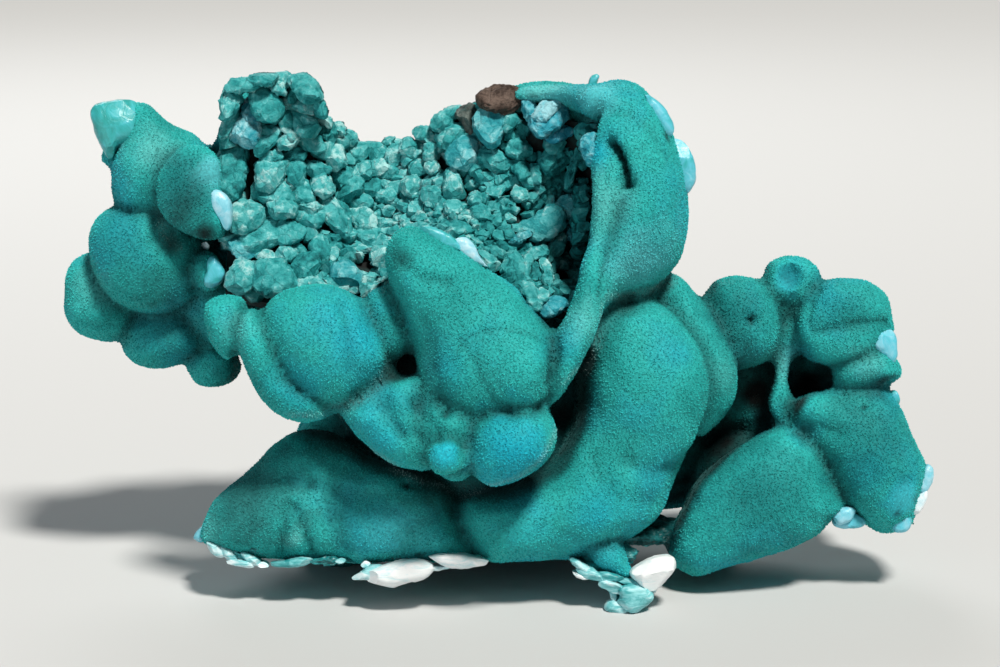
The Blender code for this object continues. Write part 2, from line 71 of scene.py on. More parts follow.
# The cushions that face the camera are groups of lobes that grew together. The first number is a group's
# fill: how far the hollows between its lobes are closed, or 0 where each lobe is a cushion of its own. Each
# lobe has its depth along Y, how far it bulges towards the camera and away from it, and its outline as the
# camera sees it.
FRONT_CUSHIONS = {
    "dome": (3.0, {
        "dome_ball": (-1.0, 8.2, 9.0, [
            (588, 87), (602, 79), (620, 76), (638, 82), (654, 96), (671, 126), (683, 156), (690, 188),
            (690, 225), (685, 255), (668, 279), (638, 298), (613, 299), (600, 280), (594, 240), (592, 190),
            (588, 140), (584, 105)]),
        "fold_upper": (-7.0, 2.4, 4.0, [
            (586, 152), (592, 140), (604, 136), (616, 145), (623, 165), (622, 200), (616, 240), (610, 275),
            (600, 292), (582, 285), (586, 250), (589, 200)]),
        "fold_middle": (-9.4, 3.2, 4.0, [
            (584, 250), (600, 245), (612, 262), (611, 290), (604, 318), (592, 340), (572, 345), (560, 330),
            (570, 300)]),
        "fold_lower": (-11.2, 3.8, 4.0, [
            (572, 302), (592, 300), (604, 312), (598, 335), (584, 365), (567, 392), (556, 409), (548, 395),
            (548, 360), (555, 330)]),
    }),
    "left_top": (2.5, {
        "left_crest": (7.0, 3.2, 4.0, [
            (120, 114), (127, 101), (141, 97), (154, 104), (160, 120), (154, 138), (136, 146), (122, 136)]),
        "left_shoulder": (7.0, 6.2, 6.0, [
            (111, 162), (121, 142), (140, 128), (165, 123), (190, 128), (206, 141), (212, 168), (208, 200),
            (192, 222), (150, 226), (120, 218), (109, 192)]),
    }),
    "left": (0.0, {
        "left_ball": (5.4, 5.8, 7.0, [
            (87, 240), (95, 217), (114, 203), (142, 198), (172, 204), (197, 220), (209, 250), (206, 284),
            (190, 306), (160, 315), (130, 312), (105, 296), (91, 270)]),
        "left_far": (8.5, 5.6, 5.0, [
            (63, 292), (66, 269), (79, 254), (98, 250), (120, 262), (136, 290), (139, 320), (131, 340),
            (112, 345), (90, 341), (72, 331), (63, 313)]),
        "left_low": (8.5, 5.2, 5.0, [
            (119, 346), (121, 325), (138, 311), (166, 303), (196, 307), (207, 325), (205, 345), (192, 359),
            (170, 369), (147, 370), (130, 362)]),
        "left_drop": (9.0, 4.2, 4.4, [
            (186, 370), (190, 354), (205, 344), (226, 343), (241, 355), (243, 372), (232, 385), (213, 390),
            (195, 386)]),
        "ear": (-0.3, 1.9, 3.2, [
            (153, 200), (155, 176), (165, 156), (182, 142), (201, 141), (216, 150), (225, 168), (224, 190),
            (229, 206), (231, 226), (223, 241), (205, 243), (188, 238), (170, 227), (158, 214)]),
        "ear_foot": (3.0, 3.0, 4.0, [
            (188, 268), (196, 252), (212, 249), (224, 264), (225, 284), (213, 294), (196, 290)]),
    }),
    "cheek": (0.0, {
        "cheek_ball": (-8.2, 6.2, 7.0, [
            (258, 326), (263, 304), (284, 288), (315, 281), (343, 286), (366, 302), (381, 325), (396, 352),
            (391, 371), (362, 396), (330, 412), (304, 400), (284, 380), (268, 354)]),
    }),
    "cheek_limb": (3.0, {
        "limb_upper": (-9.0, 4.6, 5.0, [
            (236, 320), (247, 302), (261, 306), (270, 328), (278, 350), (286, 372), (275, 388), (257, 386),
            (243, 368), (236, 346)]),
        "limb_lower": (-9.2, 5.0, 5.0, [
            (248, 378), (264, 364), (282, 370), (298, 388), (318, 400), (340, 407), (334, 419), (306, 426),
            (278, 418), (258, 399)]),
    }),
    "cheek_pieces": (0.0, {
        "cheek_small": (-7.6, 3.2, 5.0, [
            (202, 320), (204, 303), (215, 294), (235, 292), (247, 300), (250, 318), (243, 340), (230, 363),
            (218, 356), (207, 340)]),
        "cheek_strip": (-7.6, 3.6, 5.0, [
            (368, 292), (382, 284), (394, 302), (407, 328), (412, 345), (405, 358), (394, 368), (384, 346),
            (374, 318)]),
    }),
    "front": (3.0, {
        "front_peak": (-8.8, 5.2, 6.0, [
            (382, 258), (386, 238), (396, 226), (410, 222), (431, 229), (453, 242), (480, 262), (495, 300),
            (480, 340), (440, 360), (414, 345), (400, 310), (387, 282)]),
        "front_slope": (-9.6, 5.6, 6.0, [
            (440, 262), (460, 250), (487, 266), (522, 287), (530, 306), (552, 325), (558, 350), (558, 380),
            (552, 404), (520, 424), (480, 430), (445, 424), (424, 402), (414, 370), (416, 320)]),
        "front_mound": (-11.2, 5.6, 6.0, [
            (476, 366), (482, 346), (496, 333), (515, 326), (536, 328), (552, 342), (558, 364), (556, 388),
            (544, 406), (524, 415), (502, 411), (485, 394)]),
    }),
    "front_mounds": (0.0, {
        "front_lump": (-14.6, 3.6, 6.0, [
            (424, 447), (430, 437), (447, 433), (462, 437), (467, 454), (465, 472), (449, 479), (433, 476),
            (425, 463)]),
        "belly": (-12.2, 5.8, 7.0, [
            (466, 452), (468, 428), (482, 412), (508, 404), (536, 402), (554, 414), (560, 436), (553, 457),
            (537, 473), (512, 485), (488, 488), (471, 474)]),
    }),
    "front_low": (0.0, {
        "front_wing": (-10.0, 5.0, 6.0, [
            (341, 416), (350, 405), (368, 390), (386, 380), (404, 374), (420, 370), (432, 388), (440, 420),
            (440, 450), (434, 474), (410, 472), (382, 460), (358, 440)]),
        "front_waist": (-11.0, 5.0, 6.0, [
            (412, 395), (440, 388), (474, 400), (484, 430), (480, 462), (462, 484), (436, 478), (420, 452),
            (410, 424)]),
    }),
    "middle": (6.0, {
        "middle_upper": (-2.6, 8.0, 8.0, [
            (574, 350), (580, 318), (602, 299), (636, 291), (664, 300), (693, 326), (712, 358), (714, 394),
            (704, 424), (686, 456), (650, 468), (610, 460), (584, 420), (574, 385)]),
        "middle_low": (-3.6, 8.0, 8.0, [
            (500, 505), (520, 482), (552, 455), (570, 420), (600, 400), (650, 400), (690, 440), (680, 470),
            (662, 515), (630, 541), (600, 558), (560, 562), (520, 562), (500, 545)]),
        "middle_corner": (-5.4, 6.6, 7.0, [
            (456, 505), (470, 492), (510, 484), (550, 485), (580, 510), (580, 545), (550, 562), (520, 563),
            (484, 563), (466, 535)]),
    }),
    "middle_shells": (0.0, {
        "shell_rim": (0.8, 6.4, 8.0, [
            (640, 296), (655, 283), (677, 271), (703, 300), (721, 327), (735, 353), (739, 387), (731, 411),
            (716, 428), (696, 440), (672, 400), (650, 345)]),
        "shoulder": (3.4, 5.2, 6.0, [
            (703, 302), (708, 285), (722, 275), (742, 273), (763, 280), (777, 297), (782, 320), (779, 345),
            (768, 362), (745, 372), (722, 366), (708, 346)]),
    }),
    "middle_tail": (0.0, {
        "middle_tail": (-6.4, 4.2, 4.0, [
            (574, 540), (596, 528), (618, 532), (628, 545), (630, 560), (636, 576), (626, 581), (606, 574),
            (588, 563)]),
    }),
    "apron": (3.0, {
        "apron_left": (-3.2, 6.2, 8.0, [
            (194, 539), (202, 521), (211, 499), (253, 464), (270, 443), (288, 431), (310, 426), (340, 432),
            (372, 460), (380, 510), (370, 562), (311, 562), (270, 561), (232, 557), (208, 549)]),
        "apron_right": (-4.2, 6.4, 8.0, [
            (340, 470), (372, 456), (420, 466), (452, 486), (457, 508), (470, 540), (482, 563), (430, 564),
            (388, 564), (340, 562), (325, 520)]),
    }),
    "right": (0.0, {
        "right_cushion": (-1.0, 6.4, 7.0, [
            (680, 506), (696, 477), (731, 447), (760, 431), (790, 424), (812, 438), (824, 458), (836, 482),
            (847, 508), (832, 520), (822, 534), (792, 550), (762, 559), (720, 572), (692, 578), (668, 562),
            (670, 532)]),
    }),
    "right_far": (2.5, {
        "right_end": (0.5, 6.2, 7.0, [
            (797, 414), (812, 394), (835, 386), (860, 384), (885, 388), (899, 397), (907, 420), (919, 444),
            (929, 468), (927, 488), (920, 510), (905, 530), (885, 537), (864, 527), (845, 510), (828, 480),
            (814, 452), (803, 432)]),
        "right_knob": (0.4, 3.4, 4.0, [
            (788, 420), (794, 402), (808, 391), (828, 389), (842, 400), (840, 418), (820, 430), (798, 430)]),
    }),
    "bud": (0.0, {
        "bud": (4.0, 3.0, 3.2, [
            (762, 282), (765, 264), (778, 254), (795, 252), (812, 258), (823, 272), (823, 290), (812, 303),
            (795, 309), (778, 306), (766, 297)]),
    }),
    "crown": (2.4, {
        "crown_top": (3.0, 4.6, 5.0, [
            (799, 302), (806, 286), (822, 277), (845, 275), (870, 279), (888, 292), (895, 310), (891, 327),
            (870, 334), (840, 332), (814, 332), (801, 320)]),
        "crown_left": (2.8, 4.2, 4.0, [
            (791, 324), (796, 305), (807, 295), (819, 300), (824, 320), (821, 341), (808, 347), (795, 340)]),
        "crown_low": (2.0, 4.4, 4.6, [
            (799, 347), (805, 330), (830, 322), (860, 322), (880, 330), (888, 345), (878, 358), (850, 368),
            (820, 368), (804, 360)]),
    }),
    "tail": (0.0, {
        "tail": (1.0, 3.4, 4.0, [
            (829, 374), (839, 360), (860, 348), (879, 343), (894, 352), (904, 366), (902, 380), (885, 383),
            (860, 388), (838, 388)]),
    }),
}
# How full a lobe is: 2 gives an ellipsoid, and more gives a flatter face and a tighter edge.
FULLNESS = 2.3
# The crest along the hollow's rim, which stands over the crystals: one more such group, with its fill.
RIM_FILL = 2.5
RIM = {
    "rim_crest": (4.8, 1.8, 5.0, [
        (506, 95), (512, 87), (530, 82), (556, 81), (580, 82), (600, 84), (604, 98), (598, 113), (584, 117),
        (570, 111), (552, 106), (530, 105), (513, 103)]),
    "rim_middle": (2.6, 2.4, 5.0, [
        (552, 92), (566, 82), (586, 81), (602, 83), (608, 100), (600, 114), (582, 118), (566, 108)]),
    "rim_shoulder": (-0.8, 3.8, 6.0, [
        (576, 92), (588, 82), (606, 80), (622, 84), (632, 100), (622, 118), (602, 124), (586, 119),
        (575, 106)]),
}

# The cushions behind and between them, in the same kinds of groups. Each lobe has a centre, radii and, where
# it is tilted, its turn about Y in degrees, clockwise as seen from the front.
CUSHIONS = {
    "dome_back": (0.0, {
        "dome_rear": ((10.5, 6.0, 42.0), (6.5, 6.5, 6.5)), "dome_rim": ((5.0, 7.5, 47.8), (6.5, 4.6, 3.1)),
    }),
    "left_back": (0.0, {
        "left_core": ((-29.6, 9.0, 28.6), (4.6, 6.0, 5.6)),
        "left_stem": ((-31.0, 7.0, 38.0), (3.5, 4.0, 4.5)),
    }),
    "wall": (4.0, {
        "wall_left": ((-17.0, 12.0, 35.0), (8.5, 6.5, 8.0)),
        "wall_saddle": ((-9.0, 13.5, 35.5), (8.0, 6.0, 7.5)),
        "wall_right": ((0.0, 10.5, 40.0), (8.0, 6.0, 9.0)),
        "wall_tower": ((-23.8, 8.0, 43.0), (5.6, 4.5, 7.6)),
    }),
    "stem": (1.0, {
        "stem_top": ((29.5, 2.8, 25.0), (1.7, 1.8, 2.6)),
        "stem_middle": ((28.8, 2.2, 21.7), (1.2, 1.4, 3.0), 6),
        "stem_foot": ((28.5, 1.8, 18.5), (1.6, 1.8, 2.6)),
        "bud_link": ((28.8, 4.5, 27.8), (1.6, 2.0, 1.8), 20),
    }),
    "back": (0.0, {
        "back_1": ((-36.0, 13.0, 33.0), (5.0, 5.0, 5.5)), "back_2": ((-31.0, 14.0, 39.0), (4.5, 5.0, 4.5)),
        "back_3": ((-29.0, 15.0, 29.0), (5.5, 5.5, 5.5)), "back_4": ((-23.0, 14.0, 42.5), (4.5, 5.0, 4.5)),
        "back_5": ((-22.0, 17.0, 34.0), (6.0, 5.5, 6.5)), "back_6": ((-13.5, 18.0, 37.0), (6.0, 5.5, 6.0)),
        "back_7": ((-15.0, 17.0, 27.0), (6.0, 6.0, 5.5)), "back_8": ((-5.0, 17.5, 39.5), (6.0, 5.0, 5.5)),
        "back_9": ((-5.0, 18.5, 30.0), (7.0, 5.5, 7.0)), "back_10": ((3.5, 14.0, 44.5), (5.0, 5.0, 4.0)),
        "back_11": ((5.5, 16.5, 36.0), (6.5, 6.0, 6.5)), "back_12": ((12.0, 11.0, 42.5), (5.0, 5.0, 5.0)),
        "back_13": ((14.0, 10.0, 34.0), (5.0, 6.0, 6.0)), "rear_1": ((-21.0, 6.0, 8.5), (5.5, 6.0, 4.4)),
        "rear_2": ((-15.0, 11.0, 11.5), (7.0, 7.0, 6.5)), "rear_3": ((-5.0, 14.5, 11.0), (7.5, 7.0, 6.5)),
        "rear_4": ((6.0, 15.5, 13.5), (7.5, 7.0, 7.0)), "rear_5": ((15.0, 12.0, 20.0), (7.0, 7.0, 7.0)),
        "rear_6": ((17.0, 11.0, 10.5), (7.0, 7.0, 6.0)), "rear_7": ((26.0, 10.5, 18.0), (6.5, 6.5, 6.5)),
        "rear_8": ((26.0, 7.5, 9.5), (6.0, 6.0, 5.5)), "rear_9": ((34.0, 9.0, 14.0), (6.0, 6.0, 6.0)),
        "rear_10": ((33.0, 9.5, 22.5), (5.0, 4.5, 5.0)),
    }),
    "core": (3.0, {
        "core_left": ((-14.0, 5.0, 24.0), (8.0, 8.0, 8.0)),
        "core_middle": ((-2.0, 4.0, 23.0), (11.0, 9.0, 9.0)),
        "core_right": ((9.0, 4.0, 27.0), (8.0, 8.0, 8.0)), "core_low": ((0.0, 4.0, 12.0), (16.0, 9.0, 7.0)),
        "core_rear": ((-8.0, 13.0, 20.0), (9.0, 7.0, 7.5)),
        "core_rear_right": ((5.0, 12.0, 25.0), (9.0, 8.0, 9.0)),
    }),
}
# Angular blocks where a lobe is broken: centre, lengths, and turns about X, Y and Z in degrees. Their
# corners are moved by up to this share of their lengths.
BROKEN_BLOCKS = {
    "left_horn": ((-39.6, 8.4, 46.0), (3.4, 4.2, 3.4), (10, -8, 20)),
    "left_horn_foot": ((-39.3, 8.0, 43.6), (3.0, 4.0, 3.8), (0, 12, 0)),
    "right_edge": ((40.7, 0.0, 12.3), (4.4, 4.0, 4.4), (0, 42, 0)),
    "right_edge_low": ((40.8, -1.0, 8.2), (3.2, 4.0, 3.6), (0, 20, 0)),
    "tail_wedge": ((37.6, 2.5, 20.2), (5.6, 4.0, 1.6), (0, -8, 0)),
    "crown_chip": ((38.8, 2.0, 25.2), (2.2, 3.4, 4.4), (0, 12, 10)),
}
CORNER_SHIFT = 0.16
# The scoop in the top of the bud: centre and radii.
BUD_SCOOP = ((29.1, 0.5, 31.9), (1.7, 1.9, 1.7))
# How finely a group of lobes is joined, and then the whole velvet.
CUSHION_VOXEL = 0.6
VOXEL = 0.485
# The height and the width of the velvet's low mounds and of its waves.
MOUND_HEIGHT = 0.16
MOUND_SIZE = 4.5
WAVE_HEIGHT = 0.10
WAVE_SIZE = 3.0
# How wide and deep the creases between cushions are, and how far from a cushion they are looked for.
CREASE_WIDTH = 0.55
CREASE_DEPTH = 0.55
CREASE_REACH = 1.4
# How far the velvet's base lies inside the solid, so that the needles' tips reach it.
SHRINK = 0.24
# The needles: how many stand on a square millimetre, their size before it varies, the least and the greatest
# share of that along each axis, and how far they lean, in radians.
NEEDLES_PER_MM2 = 17.0
NEEDLE_RADIUS = 0.115
NEEDLE_LENGTH = 0.125
NEEDLE_LEAST = (0.6, 0.6, 0.5)
NEEDLE_MOST = (1.3, 1.3, 1.3)
NEEDLE_LEAN = 0.35
# The parts that the needles are made in, to keep each piece a workable size: from where to where along X,
# and the height that parts the lower piece from the upper one.
EVERYWHERE = 90.0
NEEDLE_PARTS = {
    "left": (-EVERYWHERE, -14.0, 29.0), "middle": (-14.0, 7.0, 22.0), "right": (7.0, EVERYWHERE, 17.0)}

# Furrows in the velvet: depth and half-width in millimetres, then the line's points in the camera's view.
FURROWS = {
    "front_flank": (0.35, 1.2, [(422, 325), (430, 365), (437, 400)]),
    "front_mound_top": (0.18, 0.4, [(452, 360), (462, 343), (480, 333), (505, 328), (530, 330), (548, 342)]),
    "front_mound_side": (0.22, 0.4, [
        (463, 345), (474, 360), (480, 380), (492, 400), (510, 413), (535, 414), (552, 402)]),
    "crown_seam": (0.4, 0.5, [(812, 334), (835, 327), (862, 323), (890, 322)]),
    "crown_left_seam": (0.35, 0.5, [(819, 286), (809, 300), (806, 320), (812, 335)]),
    "front_wedge": (0.9, 1.1, [(378, 398), (388, 416), (402, 436)]),
    "front_ridge": (0.5, 0.9, [(410, 390), (422, 412), (434, 432)]),
    "front_top_shelf": (0.35, 0.68, [(398, 262), (420, 278), (447, 282)]),
    "front_right_seam": (0.4, 0.49, [(553, 335), (556, 360), (552, 385)]),
    "cheek_seam": (0.4, 0.78, [(342, 300), (350, 330), (352, 366)]),
    "middle_waist": (0.35, 0.98, [(628, 462), (660, 474), (690, 462)]),
    "middle_low": (0.3, 1.17, [(590, 452), (600, 480), (625, 500), (655, 505)]),
    "apron_fold_left": (0.5, 0.59, [(281, 556), (284, 530), (290, 506)]),
    "apron_fold_right": (0.6, 0.59, [(312, 556), (303, 530), (293, 506)]),
    "apron_valley": (0.4, 1.56, [(292, 478), (315, 488), (345, 496), (385, 498)]),
    "apron_slope": (0.4, 1.17, [(330, 505), (338, 530), (342, 552)]),
    "right_brow": (0.5, 0.98, [(800, 428), (815, 426), (835, 432)]),
    "right_flank": (0.3, 1.17, [(884, 420), (900, 450), (905, 480)]),
    "dome_tear": (2.4, 0.42, [(607, 139), (614, 147), (620, 157), (624, 168), (626, 180)]),
    "dome_valley": (0.7, 0.9, [(627, 190), (619, 212), (613, 240), (609, 268), (606, 292)]),
    "dome_brow": (0.35, 0.78, [(598, 108), (628, 112), (655, 130), (672, 158)]),
    "bead_line": (0.25, 0.49, [(78, 324), (95, 329), (112, 326)]),
}
# Pits: radius and depth in millimetres, then the point.
PITS = {
    "shoulder_pit": (0.5, 1.2, (752, 320)), "front_pit": (0.6, 1.0, (445, 412)),
    "apron_pit": (1.0, 0.9, (312, 484)), "tear_end": (0.75, 2.0, (627, 184)),
    "front_speck": (0.5, 0.8, (408, 481)), "knob_pit": (0.4, 0.6, (865, 404)),
}
# Patches of another tint, by kind: how strong each is, its radius in millimetres and its point. Smooth
# patches have no needles. How ragged their edges are is a share of the radius.
PATCHES = {
    "blue": {
        "dome_low": (0.45, 6.0, (645, 258)), "fold_bulb": (0.8, 2.4, (594, 152)),
        "fold_low": (0.5, 3.5, (562, 340)), "front_low_right": (0.85, 6.5, (512, 452)),
        "front_lump": (0.9, 3.0, (446, 454)), "front_centre": (0.5, 3.5, (440, 365)),
        "front_wedge_tip": (0.5, 3.0, (385, 440)), "cheek_right": (0.7, 4.5, (365, 330)),
        "cheek_low": (0.5, 4.5, (300, 385)), "middle_low": (0.5, 4.0, (600, 505)),
        "right_tip": (0.9, 3.2, (905, 495)), "right_low": (0.5, 4.0, (870, 470)),
        "bud": (0.8, 2.2, (790, 276)),
    },
    # The pale patches dome_low, fold, fold_low, left_top and middle_shoulder are painted light, where the
    # velvet is lit more or catches rim light.
    "pale": {
        "dome_low": (0.3, 6.0, (640, 262)), "fold": (0.3, 5.0, (600, 205)),
        "fold_low": (0.25, 4.0, (585, 320)), "left_far_top": (0.2, 4.0, (90, 285)),
        "left_top": (0.35, 4.2, (150, 148)), "left_horn": (0.9, 3.6, (112, 125)),
        "rim_left": (0.7, 4.0, (545, 92)), "rim_middle": (0.5, 4.5, (585, 95)),
        "ear_chip": (2.0, 2.4, (214, 172)), "fold_top": (0.4, 2.4, (592, 128)),
        "middle_shoulder": (0.15, 3.4, (727, 375)), "small_cheek": (0.3, 2.4, (236, 325)),
        "tail": (0.25, 3.0, (868, 365)), "stem": (0.35, 2.6, (783, 365)),
        "apron_fold": (0.5, 1.6, (296, 540)), "apron_corner": (0.25, 3.0, (205, 530)),
        "apron_mid": (0.1, 6.0, (400, 530)), "rim_blue": (0.35, 2.4, (907, 498)),
    },
    # Dark patches are partly dark rock in recesses, cracks and pits and partly painted shade; ear_under,
    # shoulder_under, bud_under, apron_under, apron_top, dome_shadow, left_hollow and left_ball_low are
    # painted shade.
    "dark": {
        "apron_far": (0.3, 7.0, (235, 500)), "ear": (0.55, 3.0, (180, 215)),
        "ear_under": (0.8, 2.2, (172, 246)), "left_hollow": (0.45, 5.0, (170, 290)),
        "left_throat": (1.0, 2.2, (205, 235)), "cheek_gap": (0.9, 2.2, (395, 372)),
        "wedge": (0.8, 1.1, (388, 420)), "front_side": (0.5, 2.4, (398, 255)),
        "front_flank": (0.4, 3.2, (428, 365)), "front_right_gap": (0.9, 2.2, (563, 415)),
        "dome_shadow": (0.5, 2.6, (625, 305)), "shoulder_under": (0.6, 2.8, (755, 360)),
        "recess_left": (1.2, 4.2, (757, 392)), "recess_low": (1.0, 4.0, (725, 440)),
        "recess_right": (1.3, 2.6, (812, 388)), "recess_corner": (1.2, 2.4, (797, 402)),
        "tail_notch": (1.1, 1.5, (884, 383)), "bud_under": (0.9, 1.2, (790, 314)),
        "right_gap": (0.9, 3.0, (676, 500)), "foot_gap": (0.9, 2.0, (640, 555)),
        "apron_top": (0.7, 5.0, (335, 432)), "apron_under": (0.6, 4.0, (430, 492)),
        "tear": (1.2, 0.8, (626, 176)), "pit": (1.2, 0.6, (752, 320)), "front_pit": (0.9, 0.8, (445, 412)),
        "crest_brown": (0.6, 0.9, (532, 97)), "strip_notch": (1.2, 0.7, (420, 557)),
        "strip_notch_right": (1.2, 0.9, (436, 560)), "rim_crack": (1.2, 0.7, (918, 500)),
        "rim_crack_low": (1.2, 0.6, (899, 516)), "rim_crack_top": (1.0, 0.7, (930, 478)),
        "left_ball_low": (0.35, 4.5, (165, 285)), "ear_rim": (0.8, 1.3, (157, 212)),
        "chip_gap": (1.2, 0.8, (670, 137)),
    },
    "grey": {
        "apron_far": (1.0, 9.0, (245, 490)), "apron_centre": (0.3, 7.0, (320, 500)),
        "ear": (0.6, 5.0, (175, 200)), "left_low": (0.5, 5.0, (175, 320)),
        "right_top": (0.35, 5.0, (850, 405)), "rim": (0.4, 4.5, (560, 95)),
    },
    "smooth": {
        "ear_chip": (2.2, 2.6, (214, 172)), "rim_right": (0.8, 4.0, (585, 98)),
        "bud_scoop": (1.5, 2.1, (788, 276)), "lump": (0.7, 2.6, (446, 454)), "horn": (1.4, 3.2, (110, 122)),
        "rim": (0.7, 4.5, (555, 94)), "rim_blue": (1.5, 2.8, (905, 500)), "ear_edge": (1.0, 2.6, (226, 200)),
    },
    # The deep patches are painted shade: whole cushions are darkened where less light falls, towards the left
    # and right and under the shoulder and crown.
    "deep": {
        "left": (0.35, 8.0, (160, 330)), "left_mid": (0.5, 8.0, (120, 250)), "ear": (0.9, 6.5, (180, 190)),
        "right_end": (0.8, 9.0, (880, 440)), "right": (0.8, 9.0, (760, 500)),
        "shoulder": (0.9, 6.5, (740, 310)), "crown": (0.5, 6.0, (850, 310)), "cheek": (0.2, 4.5, (285, 400)),
        "front": (0.6, 4.0, (430, 400)), "middle": (0.6, 4.5, (720, 300)),
    },
}
PATCH_RAGGEDNESS = 0.45
# Lines where the velvet's needles are long, with a pale tint that is painted rim light, how far from the line
# they are, and how much longer and thinner than elsewhere, as shares.
FRINGES = {
    "dome_edge": [(604, 297), (625, 299), (650, 294), (672, 280), (684, 262)],
    "fold_edge": [(606, 303), (603, 320), (596, 345), (585, 365), (568, 383)],
    "front_edge": [
        (559, 430), (553, 445), (540, 465), (520, 480), (495, 487), (462, 487), (430, 481), (400, 470)],
    "front_low_edge": [(400, 470), (375, 455), (352, 438)],
    "cheek_edge": [(393, 368), (372, 390), (350, 405), (320, 418), (290, 418)],
    "left_ear_edge": [(156, 215), (165, 235), (180, 248)],
    "apron_fringe": [(440, 482), (460, 492), (480, 490)],
}
FRINGE_WIDTH = 0.5
FRINGE_GROWTH = 1.2
FRINGE_THINNING = 0.55

# The sloping bank of crystals in the hollow: its lower edge and its rim, from left to right, and how far it
# sags between them, with more in the cavity on the right.
BANK_FOOT = [
    (-27.6, -0.5, 31.0), (-23.0, -1.5, 30.0), (-17.0, -2.5, 31.3), (-12.0, -2.5, 31.0), (-9.0, -2.5, 34.5),
    (-5.0, -2.5, 36.0), (-1.0, -4.0, 34.0), (3.0, -6.5, 31.0), (8.2, -6.5, 29.5),
]
BANK_RIM = [
    (-27.6, 4.0, 47.5), (-25.0, 5.0, 50.6), (-21.5, 5.0, 51.2), (-18.5, 7.0, 47.6), (-14.5, 11.5, 43.6),
    (-10.0, 12.0, 44.0), (-5.0, 9.5, 47.2), (0.0, 7.5, 49.0), (4.5, 5.0, 48.4), (8.2, 2.5, 47.6),
]
BANK_SAG = 2.6
CAVITY_SAG = 6.0
CAVITY_X = 8.0
CAVITY_WIDTH = 4.2
# The line, from below, at which the crystals on the inside of the fold end.
FOLD_LINE = [(6.4, -7.6, 29.0), (7.6, -6.0, 35.0), (8.6, -4.5, 41.0), (9.4, -3.0, 47.2)]
BANK_COLUMNS = 26
WALL_COLUMNS = 5
BANK_ROWS = 12
# The way into the wall, for each millimetre: backward and down behind the bank; right, backward and down in
# the fold.
BANK_BACK = 0.55
BANK_DOWN = 0.85
WALL_OUT = 0.9
WALL_BACK = 0.2
WALL_DOWN = 0.3
# How deep the hollow is cut behind the crystals' mean surface, and how high above it.
CRUST_THICKNESS = 2.0
CUT_HEIGHT = 24.0
# The dark bed: how far it stays from the cut, and how far its top lies behind the crystals' mean surface.
BED_INSET = 0.2
BED_TOP = 0.9
# How thick the bank is taken to be where the camera's sight of it is looked for.
BANK_DEPTH = 0.6
# Places with no crystals, where the dark bed shows: radius and point.
GAPS = {
    "tongue_gap": (1.5, (248, 178)), "tower_crack": (0.8, (244, 100)), "base_cavity": (1.5, (364, 266)),
    "base_cavity_left": (0.7, (333, 262)), "left_throat": (0.8, (208, 245)), "cavity_top": (2.0, (577, 135)),
    "cavity_middle": (2.2, (585, 170)), "cavity_shelf": (1.3, (536, 138)), "crack_star": (0.9, (470, 193)),
    "crevice_1": (1.3, (572, 245)), "crevice_2": (1.3, (562, 275)), "crevice_3": (1.1, (566, 300)),
    "crevice_4": (0.9, (552, 325)),
}
# Dark cracks that run between the crystals.
CRACKS = {
    "long_crack": [(443, 160), (458, 180), (470, 195), (488, 215)],
    "right_crack": [(512, 190), (520, 205), (524, 225), (518, 240)],
    "left_crack": [(318, 196), (326, 215), (338, 235)],
    "low_crack": [(232, 262), (252, 262), (285, 252)],
    "tower_line": [(256, 150), (250, 170), (247, 195)],
}
CRACK_WIDTH = 0.45
# The way that the bank faces, on the whole: forward and up.
OUTWARD = Vector((0.0, -0.82, 0.57))
# How many places are tried for small crystals, and how close two may stand, as a share of their radii.
TRIALS = 9000
CLOSEST = 0.58
# Each small crystal: its flat faces, the neighbours that may cut it and how far they run into each other,
# how square the squarest is, and the radius from which it is cut from a finer ball.
FACETS = 6
NEIGHBOURS = 9
OVERLAP = 1.16
SQUAREST = 0.4
LARGE_RADIUS = 0.95
LARGE_DETAIL = 3
SMALL_DETAIL = 2
# The angle past which an edge stays crisp, and the highest that a crystal reaches.
SHARP = math.radians(32)
CRYSTAL_TOP = 51.85
